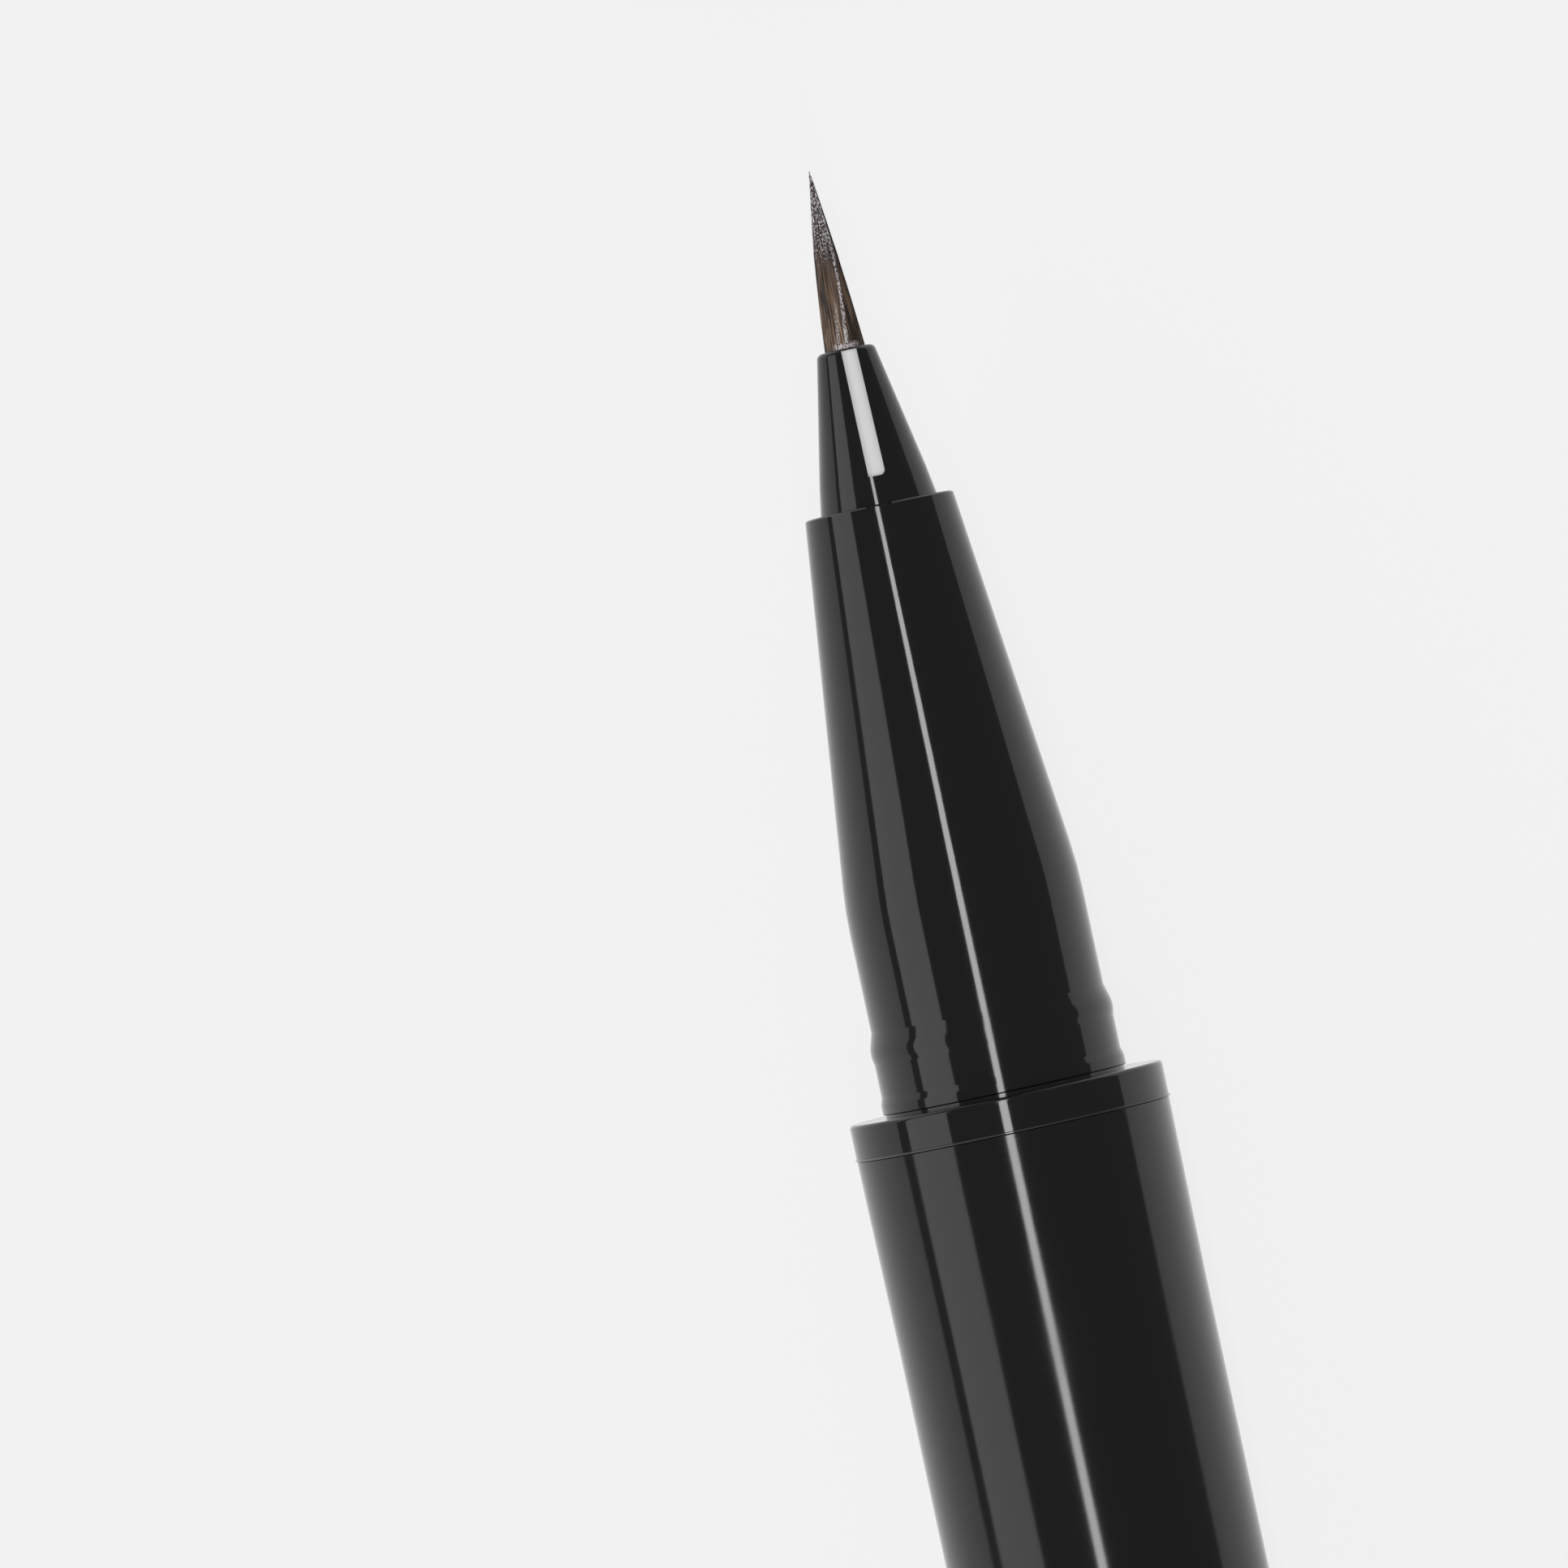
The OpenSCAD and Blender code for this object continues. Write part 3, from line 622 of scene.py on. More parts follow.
@dataclass
class Lathe:
    """Turns outlines into meshes round the pen's axis.

    A straight longer than long_straight supports gets a ring close to each end. A corner counts as an edge
    that hands rub where its fillet is under edge_fillet and it turns by more than edge_sweep.
    """

    axis: Axis
    sides: int = 192
    arc_step: float = 10.0
    support: float = 0.02
    long_straight: float = 8.0
    edge_fillet: float = 0.5
    edge_sweep: float = 0.3
    on_axis: float = 1e-9

    def turn(self, name: str, outline: Outline, closed: bool, shift: float = 0.0) -> bpy.types.Object:
        """Turns one piece.

        Args:
            name: the piece's name.
            outline: station, radius and fillet of each corner, with the solid on the left of the path.
            closed: whether the outline returns to its start, as a tube's does.
            shift: how far the piece stands ahead of its stations.

        Returns:
            The piece as an object at the origin.
        """
        profile = self._profile(outline, closed)
        rings: list[list[int]] = []
        points: list[Vector] = []
        edges: list[float] = []
        for station, radius, edge in profile:
            count = 1 if radius < self.on_axis else self.sides
            rings.append(list(range(len(points), len(points) + count)))
            for k in range(count):
                turn = 2 * math.pi * k / self.sides
                points.append(self.axis.at(station + shift, radius * math.cos(turn), radius * math.sin(turn)))
                edges.append(edge)
        faces: list[tuple[int, ...]] = []
        steps = len(rings) if closed else len(rings) - 1
        for j in range(steps):
            one, two = rings[j], rings[(j + 1) % len(rings)]
            for k in range(self.sides):
                after = (k + 1) % self.sides
                if len(one) == 1:
                    faces.append((one[0], two[k], two[after]))
                elif len(two) == 1:
                    faces.append((one[k], two[0], one[after]))
                else:
                    faces.append((one[k], two[k], two[after], one[after]))
        mesh = bpy.data.meshes.new(name)
        mesh.from_pydata(points, [], faces)
        mesh.attributes.new("edge", "FLOAT", "POINT").data.foreach_set("value", edges)
        smooth(mesh)
        made = bpy.data.objects.new(name, mesh)
        bpy.context.scene.collection.objects.link(made)
        return made

    def _profile(self, outline: Outline, closed: bool) -> list[Triple]:
        """Rounds an outline's corners and supports its straights.

        Args:
            outline, closed: as for turn().

        Returns:
            Station, radius and edge mark of each ring.
        """
        corners = [Vector((station, radius)) for station, radius, _ in outline]
        count = len(corners)
        made: list[Triple] = []
        for i, (station, radius, fillet) in enumerate(outline):
            if not closed and i in (0, count - 1) or fillet == 0.0:
                made.append((station, radius, 0.0))
            else:
                made += self._fillet(corners[i - 1], corners[i], corners[(i + 1) % count], fillet)
        supported: list[Triple] = []
        for i, here in enumerate(made):
            supported.append(here)
            if i + 1 < len(made) or closed:
                supported += self._supports(here, made[(i + 1) % len(made)])
        return supported

    def _supports(self, here: Triple, there: Triple) -> list[Triple]:
        """Keeps the shading of a long straight even.

        Args:
            here, there: two rings.

        Returns:
            Rings close to the straight's ends, or none where it is short.
        """
        span = math.hypot(there[0] - here[0], there[1] - here[1])
        if span < self.long_straight * self.support:
            return []
        shares = (self.support / span, 1 - self.support / span)
        return [(here[0] + (there[0] - here[0]) * s, here[1] + (there[1] - here[1]) * s, 0.0) for s in shares]

    def _fillet(self, before: Vector, corner: Vector, after: Vector, radius: float) -> list[Triple]:
        """Rounds a corner.

        Args:
            before, corner, after: three corners of the outline.
            radius: the fillet's.

        Returns:
            The rings of the arc, marked as an edge where the corner stands out.
        """
        into, out = (corner - before).normalized(), (after - corner).normalized()
        turn = into.angle_signed(out)
        convex = into.x * out.y - into.y * out.x > 0
        side = 1.0 if convex else -1.0
        sweep = abs(turn)
        start = corner - into * (radius * math.tan(sweep / 2))
        normal = Vector((into.y, -into.x)) * side
        centre = start - normal * radius
        steps = max(2, math.ceil(math.degrees(sweep) / self.arc_step))
        mark = 1.0 if convex and radius < self.edge_fillet and sweep > self.edge_sweep else 0.0
        rings = []
        for k in range(steps + 1):
            angle = side * sweep * k / steps
            spoke = Vector((normal.x * math.cos(angle) - normal.y * math.sin(angle),
                            normal.x * math.sin(angle) + normal.y * math.cos(angle))) * radius
            rings.append((centre.x + spoke.x, centre.y + spoke.y, mark if 0 < k < steps else 0.0))
        return rings


def smooth(mesh: bpy.types.Mesh) -> None:
    """Args: mesh: shaded smooth, with sharp edges kept."""
    mesh.shade_smooth()
    mesh.set_sharp_from_angle(angle=SHARP_ANGLE)


def baked(piece: bpy.types.Object) -> bpy.types.Object:
    """Turns an object with modifiers into a plain mesh, and deletes the old object.

    Args:
        piece: the object.

    Returns:
        The new object.
    """
    name = piece.name
    graph = bpy.context.evaluated_depsgraph_get()
    mesh = bpy.data.meshes.new_from_object(piece.evaluated_get(graph), preserve_all_data_layers=True,
                                           depsgraph=graph)
    bpy.data.objects.remove(piece)
    mesh.name = name
    made = bpy.data.objects.new(name, mesh)
    bpy.context.scene.collection.objects.link(made)
    return made


def dress(piece: bpy.types.Object, finish: Finish, body: Body, slot: str, *nodes: str) -> None:
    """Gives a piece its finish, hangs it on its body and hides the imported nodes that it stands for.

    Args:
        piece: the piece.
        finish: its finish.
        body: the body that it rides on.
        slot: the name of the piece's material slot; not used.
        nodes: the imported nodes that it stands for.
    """
    piece.data.materials.clear()
    piece.data.materials.append(finish.material())
    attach(piece, body.value)
    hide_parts(*nodes)
    LOG.info("%s: %d faces, %s, for %s", piece.name, len(piece.data.polygons), finish.title, ", ".join(nodes))


def refinish(node: str, finish: Finish) -> None:
    """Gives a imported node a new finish.

    Args:
        node: the node, which keeps its mesh.
        finish: its finish.
    """
    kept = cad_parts[node]
    kept.data.materials.clear()
    kept.data.materials.append(finish.material())
    LOG.info("%s: packed mesh, %s", node, finish.title)


@dataclass
class BrushTip:
    """The bristle bundle and the fused root behind it.

    shortfall holds the power and the share by which filaments end early, and belly how full the bundle
    stays on its way to the point. strand_shares are how much of a filament's thickness it keeps and how
    much it loses with the bundle. sway is a share of the bundle's radius.
    """

    lathe: Lathe
    finishes: Range
    foot: float = 25.005
    length: float = 5.995
    sunk: float = 0.1
    radius: float = 0.69
    strands: int = 900
    strand_radius: float = 0.021
    strand_rings: int = 9
    strand_sides: int = 3
    strand_shares: Span = (0.45, 0.55)
    strand_spread: Span = (0.75, 1.2)
    strand_taper: float = 0.8
    shortfall: Span = (1.2, 0.6)
    belly: float = 0.35
    point_radius: float = 0.015
    golden_turn: float = 2.399963
    turn_spread: float = 0.03
    clump_scale: float = 3.4
    clump_depth: float = 0.25
    stray_power: float = 12.0
    stray_reach: float = 0.16
    sway: float = 0.22
    sway_fade: float = 0.8
    lean: float = 0.07
    seed: int = 7

    def tree(self) -> tuple[bpy.types.NodeTree, dict[str, str]]:
        """Wires the tree that lays the bristles.

        Returns:
            The tree, and the identifier of each named input.
        """
        tree = bpy.data.node_groups.new("bristle_bundle", "GeometryNodeTree")
        face = tree.interface
        kinds = {"Strands": "Int", "Length": "Float", "Bundle Radius": "Float", "Strand Radius": "Float",
                 "Lean": "Float", "Rings": "Int", "Sides": "Int", "Seed": "Int", "Start": "Vector",
                 "Finish": "Material"}
        names = {name: face.new_socket(name, in_out="INPUT", socket_type=f"NodeSocket{kind}").identifier
                 for name, kind in kinds.items()}
        face.new_socket("Geometry", in_out="OUTPUT", socket_type="NodeSocketGeometry")
        bench = Bench(tree)
        given = bench.node("NodeGroupInput")

        def value(name: str) -> Wire:
            """Args: name: a named input. Returns: it."""
            return Wire(bench, given.outputs[name])

        bristle = self._bristle(bench, value("Rings"), value("Sides"))
        points = bench.wire("GeometryNodePoints", {}, {"Count": value("Strands")})
        laid = bench.wire("GeometryNodeInstanceOnPoints", {}, {"Points": points, "Instance": bristle})
        index = bench.wire("GeometryNodeInputIndex")
        numbered = bench.wire("GeometryNodeStoreNamedAttribute", {"data_type": "FLOAT", "domain": "INSTANCE"},
                              {"Geometry": laid, "Name": "number", "Value": index})
        realized = bench.wire("GeometryNodeRealizeInstances", {}, {"Geometry": numbered})
        number = self._named(bench, "number")

        def chance(low: float, high: float, draw: Draw) -> Wire:
            """Draws a random number for each strand.

            Args:
                low, high: the range.
                draw: what it is for.

            Returns:
                The numbers.
            """
            ident = bench.wire("FunctionNodeFloatToInt", {}, {0: number})
            own_seed = value("Seed") + float(draw.value)
            return bench.wire("FunctionNodeRandomValue", {"data_type": "FLOAT"},
                              {RANDOM_LOW: low, RANDOM_HIGH: high, "ID": ident, "Seed": own_seed},
                              RANDOM_RESULT)

        moved = self._laid(bench, realized, number, value, chance)
        toned = bench.wire("GeometryNodeStoreNamedAttribute", {"data_type": "FLOAT", "domain": "POINT"},
                           {"Geometry": moved, "Name": "strand", "Value": chance(0.0, 1.0, Draw.TONE)})
        soft = bench.wire("GeometryNodeSetShadeSmooth", {}, {"Geometry": toned})
        last = bench.wire("GeometryNodeRealizeInstances", {}, {"Geometry": soft})
        done = bench.wire("GeometryNodeSetMaterial", {}, {"Geometry": last, "Material": value("Finish")})
        bench.node("NodeGroupOutput", {}, {"Geometry": done})
        return tree, names

    @staticmethod
    def _named(bench: Bench, name: str) -> Wire:
        """Args: bench: the tree. name: a number kept on the points. Returns: it."""
        return bench.wire("GeometryNodeInputNamedAttribute", {"data_type": "FLOAT"}, {"Name": name})

    @staticmethod
    def _bristle(bench: Bench, rings: Wire, sides: Wire) -> Wire:
        """Wires one straight filament.

        Args:
            bench: the tree.
            rings: rings along it.
            sides: sides round it.

        Returns:
            The filament, one unit long and one in radius.
        """
        line = bench.wire("GeometryNodeCurvePrimitiveLine", {}, {"Start": (0, 0, 0), "End": (0, 0, 1)})
        fine = bench.wire("GeometryNodeResampleCurve", {}, {"Curve": line, "Count": rings})
        share = bench.wire("GeometryNodeSplineParameter")
        marked = bench.wire("GeometryNodeStoreNamedAttribute", {"data_type": "FLOAT", "domain": "POINT"},
                            {"Geometry": fine, "Name": "share", "Value": share})
        ring = bench.wire("GeometryNodeCurvePrimitiveCircle", {}, {"Resolution": sides, "Radius": 1.0})
        return bench.wire("GeometryNodeCurveToMesh", {}, {"Curve": marked, "Profile Curve": ring,
                                                         "Fill Caps": True})

    def _laid(self, bench: Bench, bristles: Wire, number: Wire, value: Callable[[str], Wire],
              chance: Callable[[float, float, Draw], Wire]) -> Wire:
        """Lays each filament in the bundle, which draws in to a point.

        Args:
            bench: the tree.
            bristles: all filaments, one on the other.
            number: each filament's number.
            value: gives a named input.
            chance: gives a random number for each filament.

        Returns:
            The filaments in their places.
        """
        share = self._named(bench, "share")
        own = bench.wire("GeometryNodeInputPosition")
        local = bench.node("ShaderNodeSeparateXYZ", {}, {"Vector": own})
        power, share_lost = self.shortfall
        reach = 1.0 - chance(0.0, 1.0, Draw.SHORTFALL) ** power * share_lost
        along = share * reach
        bundle = (1.0 - along) * (1.0 + self.belly * along) + self.point_radius * along
        taper = 1.0 - self.strand_taper * share * share
        kept, drawn_in = self.strand_shares
        thick = (value("Strand Radius") * (kept + drawn_in * bundle) * taper
                 * chance(*self.strand_spread, Draw.THICKNESS))
        # The filaments cover a disc evenly, as the seeds of a sunflower do
        out = ((number + 0.5) / value("Strands")) ** 0.5
        turn = number * self.golden_turn + chance(-self.turn_spread, self.turn_spread, Draw.TURN)
        cosine = bench.wire("ShaderNodeMath", {"operation": "COSINE"}, {0: turn})
        sine = bench.wire("ShaderNodeMath", {"operation": "SINE"}, {0: turn})
        spot = bench.wire("ShaderNodeCombineXYZ", {},
                          {"X": cosine * out, "Y": sine * out, "Z": along * self.clump_depth})
        clump = bench.wire("ShaderNodeTexNoise", {},
                           {"Vector": spot, "Scale": self.clump_scale, "Detail": Detail.SOFT.value}, "Color")
        pull = bench.node("ShaderNodeSeparateXYZ", {}, {"Vector": clump})
        stray = chance(0.0, 1.0, Draw.STRAY) ** self.stray_power * share * share
        radius = (value("Bundle Radius") * bundle * out * (1.0 + self.stray_reach * stray)
                  - thick * out)
        sway = value("Bundle Radius") * self.sway * along * (1.0 - self.sway_fade * along)
        sides = {
            key: round_part * radius + Wire(bench, local.outputs[part]) * thick
            + (Wire(bench, pull.outputs[part]) - NOISE_MIDDLE) * sway * bundle
            for key, part, round_part in (("Y", "X", cosine), ("Z", "Y", sine))
        }
        sides["Y"] = sides["Y"] - along * along * value("Lean")
        spot_now = bench.wire("ShaderNodeCombineXYZ", {}, {"X": along * value("Length"), **sides})
        there = bench.wire("ShaderNodeVectorMath", {"operation": "ADD"}, {0: spot_now, 1: value("Start")})
        moved = bench.wire("GeometryNodeSetPosition", {}, {"Geometry": bristles, "Position": there})
        for name, amount in (("along", along), ("side", cosine * out)):
            moved = bench.wire("GeometryNodeStoreNamedAttribute", {"data_type": "FLOAT", "domain": "POINT"},
                               {"Geometry": moved, "Name": name, "Value": amount})
        return moved

    def bristle_bundle(self) -> bpy.types.Object:
        """Lays the bristles.

        Returns:
            The bristles as one mesh.
        """
        tree, names = self.tree()
        carrier = bpy.data.objects.new("bristle_bundle", bpy.data.meshes.new("bristle_bundle"))
        bpy.context.scene.collection.objects.link(carrier)
        modifier = carrier.modifiers.new("bristles", "NODES")
        modifier.node_group = tree
        given = {
            "Strands": self.strands, "Length": (self.length + self.sunk) * MM,
            "Bundle Radius": self.radius * MM, "Strand Radius": self.strand_radius * MM,
            "Lean": self.lean * MM, "Rings": self.strand_rings, "Sides": self.strand_sides,
            "Seed": self.seed, "Start": self.lathe.axis.at(self.foot - self.sunk),
            "Finish": self.finishes.bristles.material(),
        }
        for name, amount in given.items():
            modifier[names[name]] = amount
        carrier.update_tag()
        return baked(carrier)

    def build(self) -> None:
        """Makes and dresses the sub-assembly."""
        dress(self.bristle_bundle(), self.finishes.bristles, Body.PEN, "bristles", "brush")
        refinish("brush_root", self.finishes.root)


@dataclass
class Holder:
    """The white holder, which grips the root and whose cone shows through the nozzle's windows."""

    lathe: Lathe
    finishes: Range
    front: float = 24.945
    front_radius: float = 0.86
    front_fillet: float = 0.02
    cone_rear: float = 20.63
    cone_radius: float = 1.7
    cone_fillet: float = 0.1
    step: float = 20.2
    rear: float = 16.35
    shank_radius: float = 1.48
    shank_fillet: float = 0.05
    root_rear: float = 22.25
    root_radius: float = 0.71
    wick_radius: float = 0.67

    def build(self) -> None:
        """Makes and dresses the holder."""
        outline: Outline = [
            (self.front, self.root_radius, 0), (self.front, self.front_radius, self.front_fillet),
            (self.cone_rear, self.cone_radius, self.cone_fillet),
            (self.step, self.cone_radius, self.cone_fillet), (self.step, self.shank_radius, 0),
            (self.rear, self.shank_radius, self.shank_fillet), (self.rear, self.wick_radius, 0),
            (self.root_rear, self.wick_radius, 0), (self.root_rear, self.root_radius, 0),
        ]
        piece = self.lathe.turn("brush_holder_moulding", outline, closed=True)
        dress(piece, self.finishes.white, Body.PEN, "white_holder", "brush_holder")


@dataclass
class Nozzle:
    """The black cone in front of the grip, with two slender windows.

    Pairs go from the front to the rear, except window_fillets, which go across the window.
    """

    lathe: Lathe
    finishes: Range
    front: float = 25.005
    mouth_radius: float = 0.71
    mouth_fillet: float = 0.04
    rim_rear: float = 24.955
    rim_radius: float = 0.955
    rim_fillet: float = 0.2
    cone_bores: Span = (0.885, 1.706)
    ring_front: float = 20.7
    ring_front_radius: float = 1.796
    ring_front_fillet: float = 1.5
    ring_middle: float = 20.22
    ring_middle_radius: float = 1.872
    ring_middle_fillet: float = 40.0
    seat: float = 19.74
    seat_radius: float = 1.958
    seat_fillet: float = 0.02
    step: float = 20.18
    shank_rear: float = 16.35
    shank_bore: float = 1.5
    shank_radius: float = 1.88
    shank_fillet: float = 0.05
    window_widths: Span = (0.52, 0.578)
    window_rear: float = 20.685
    window_fillets: Span = (0.06, 0.17)
    window_turn: float = 2.5
    window_shift: float = 0.05
    corner_steps: int = 6
    bar_reach: float = 3.0

    def cone(self) -> bpy.types.Object:
        """Turns the cone, in which the windows aren't cut yet.

        Returns:
            The cone.
        """
        front_bore, rear_bore = self.cone_bores
        outline: Outline = [
            (self.front, self.mouth_radius, self.mouth_fillet), (self.rim_rear, self.mouth_radius, 0),
            (self.rim_rear, front_bore, 0), (self.ring_front, rear_bore, 0), (self.step, rear_bore, 0),
            (self.step, self.shank_bore, 0), (self.shank_rear, self.shank_bore, 0),
            (self.shank_rear, self.shank_radius, self.shank_fillet), (self.seat, self.shank_radius, 0),
            (self.seat, self.seat_radius, self.seat_fillet),
            (self.ring_middle, self.ring_middle_radius, self.ring_middle_fillet),
            (self.ring_front, self.ring_front_radius, self.ring_front_fillet),
            (self.front, self.rim_radius, self.rim_fillet),
        ]
        return self.lathe.turn("nozzle_moulding", outline[::-1], closed=True)

    def window(self) -> list[Span]:
        """Draws the window's outline, with its rear corners rounded.

        Returns:
            Stations and places across.
        """
        front, half = (width / 2 for width in self.window_widths)
        step = QUARTER_TURN / self.corner_steps
        outline = [(self.rim_rear, -front), (self.rim_rear, front)]
        for side, radius in zip((1, -1), self.window_fillets):
            for k in range(self.corner_steps + 1):
                angle = math.radians(step * k if side > 0 else QUARTER_TURN - step * k)
                station = self.window_rear + radius * (1 - math.sin(angle))
                outline.append((station, side * (half - radius + radius * math.cos(angle))))
        return outline

    def cutter(self) -> bpy.types.Object:
        """Makes the bar that cuts both windows.

        Returns:
            The bar.
        """
        outline = self.window()
        turn = math.radians(self.window_turn)
        count = len(outline)
        points = []
        for depth in (-self.bar_reach, self.bar_reach):
            for station, across in outline:
                points.append(self.lathe.axis.at(
                    station,
                    across * math.cos(turn) - depth * math.sin(turn) - self.window_shift,
                    across * math.sin(turn) + depth * math.cos(turn)))
        faces = [tuple(range(count))[::-1], tuple(range(count, 2 * count))]
        faces += [(k, (k + 1) % count, count + (k + 1) % count, count + k) for k in range(count)]
        mesh = bpy.data.meshes.new("window_bar")
        mesh.from_pydata(points, [], faces)
        mesh.validate()
        made = bpy.data.objects.new("window_bar", mesh)
        bpy.context.scene.collection.objects.link(made)
        return made

    def build(self) -> None:
        """Cuts the windows and dresses the nozzle."""
        cone, bar = self.cone(), self.cutter()
        cut = cone.modifiers.new("windows", "BOOLEAN")
        cut.operation, cut.solver, cut.object = "DIFFERENCE", "EXACT", bar
        done = baked(cone)
        bpy.data.objects.remove(bar)
        smooth(done.data)
        dress(done, self.finishes.gloss, Body.PEN, "nozzle_black", "nozzle")


@dataclass
class Grip:
    """The tapered front barrel with its snap ring and shoulder. Pairs go from the front to the rear."""

    lathe: Lathe
    finishes: Range
    nozzle_seat: float = 16.33
    mouth_radius: float = 1.9
    front: float = 19.74
    front_radius: float = 2.43
    bevel_rear: float = 19.69
    bevel_radius: float = 2.492
    taper_rear: float = 6.86
    taper_fillet: float = 14.0
    body_radius: float = 3.905
    snap_front: float = 2.83
    snap_crest: Span = (2.27, 2.0)
    snap_radius: float = 4.065
    snap_fillets: Span = (1.0, 0.9)
    foot_stations: Span = (1.77, 0.68)
    foot_radius: float = 4.015
    foot_fillet: float = 0.02
    shoulder_stations: Span = (0.43, 0.1)
    shoulder_radius: float = 4.085
    shoulder_fillets: Span = (0.3, 0.05)
    neck_rear: float = -7.3
    neck_radius: float = 3.95
    spigot_rear: float = -13.0
    spigot_radius: float = 3.79
    spigot_fillet: float = 0.1
    tank_front: float = 7.76
    tank_bore: float = 3.01
    collector_front: float = 15.33
    collector_bore: float = 2.37
    wick_bore: float = 1.1

    def outline(self) -> Outline:
        """Draws the grip from its bore round its front and back to its spigot.

        Returns:
            The grip's corners.
        """
        crest_front, crest_rear = self.snap_crest
        crest_fillet, crest_rear_fillet = self.snap_fillets
        foot_front, foot_rear = self.foot_stations
        shoulder_front, shoulder_rear = self.shoulder_stations
        shoulder_fillet, shoulder_rear_fillet = self.shoulder_fillets
        return [
            (self.nozzle_seat, self.mouth_radius, 0), (self.front, self.mouth_radius, 0),
            (self.front, self.front_radius, 0), (self.bevel_rear, self.bevel_radius, 0),
            (self.taper_rear, self.body_radius, self.taper_fillet), (self.snap_front, self.body_radius, 0),
            (crest_front, self.snap_radius, crest_fillet), (crest_rear, self.snap_radius, crest_rear_fillet),
            (foot_front, self.foot_radius, self.foot_fillet), (foot_rear, self.foot_radius, 0),
            (shoulder_front, self.shoulder_radius, shoulder_fillet),
            (shoulder_rear, self.shoulder_radius, shoulder_rear_fillet),
            (shoulder_rear, self.foot_radius, 0), (0.0, self.foot_radius, 0), (0.0, self.neck_radius, 0),
            (self.neck_rear, self.neck_radius, 0), (self.neck_rear, self.spigot_radius, 0),
            (self.spigot_rear, self.spigot_radius, self.spigot_fillet), (self.spigot_rear, self.tank_bore, 0),
            (self.tank_front, self.tank_bore, 0), (self.tank_front, self.collector_bore, 0),
            (self.collector_front, self.collector_bore, 0), (self.collector_front, self.wick_bore, 0),
            (self.nozzle_seat, self.wick_bore, 0),
        ]

    def build(self) -> None:
        """Makes and dresses the grip."""
        piece = self.lathe.turn("grip_moulding", self.outline(), closed=True)
        dress(piece, self.finishes.gloss, Body.PEN, "grip_black", "grip")


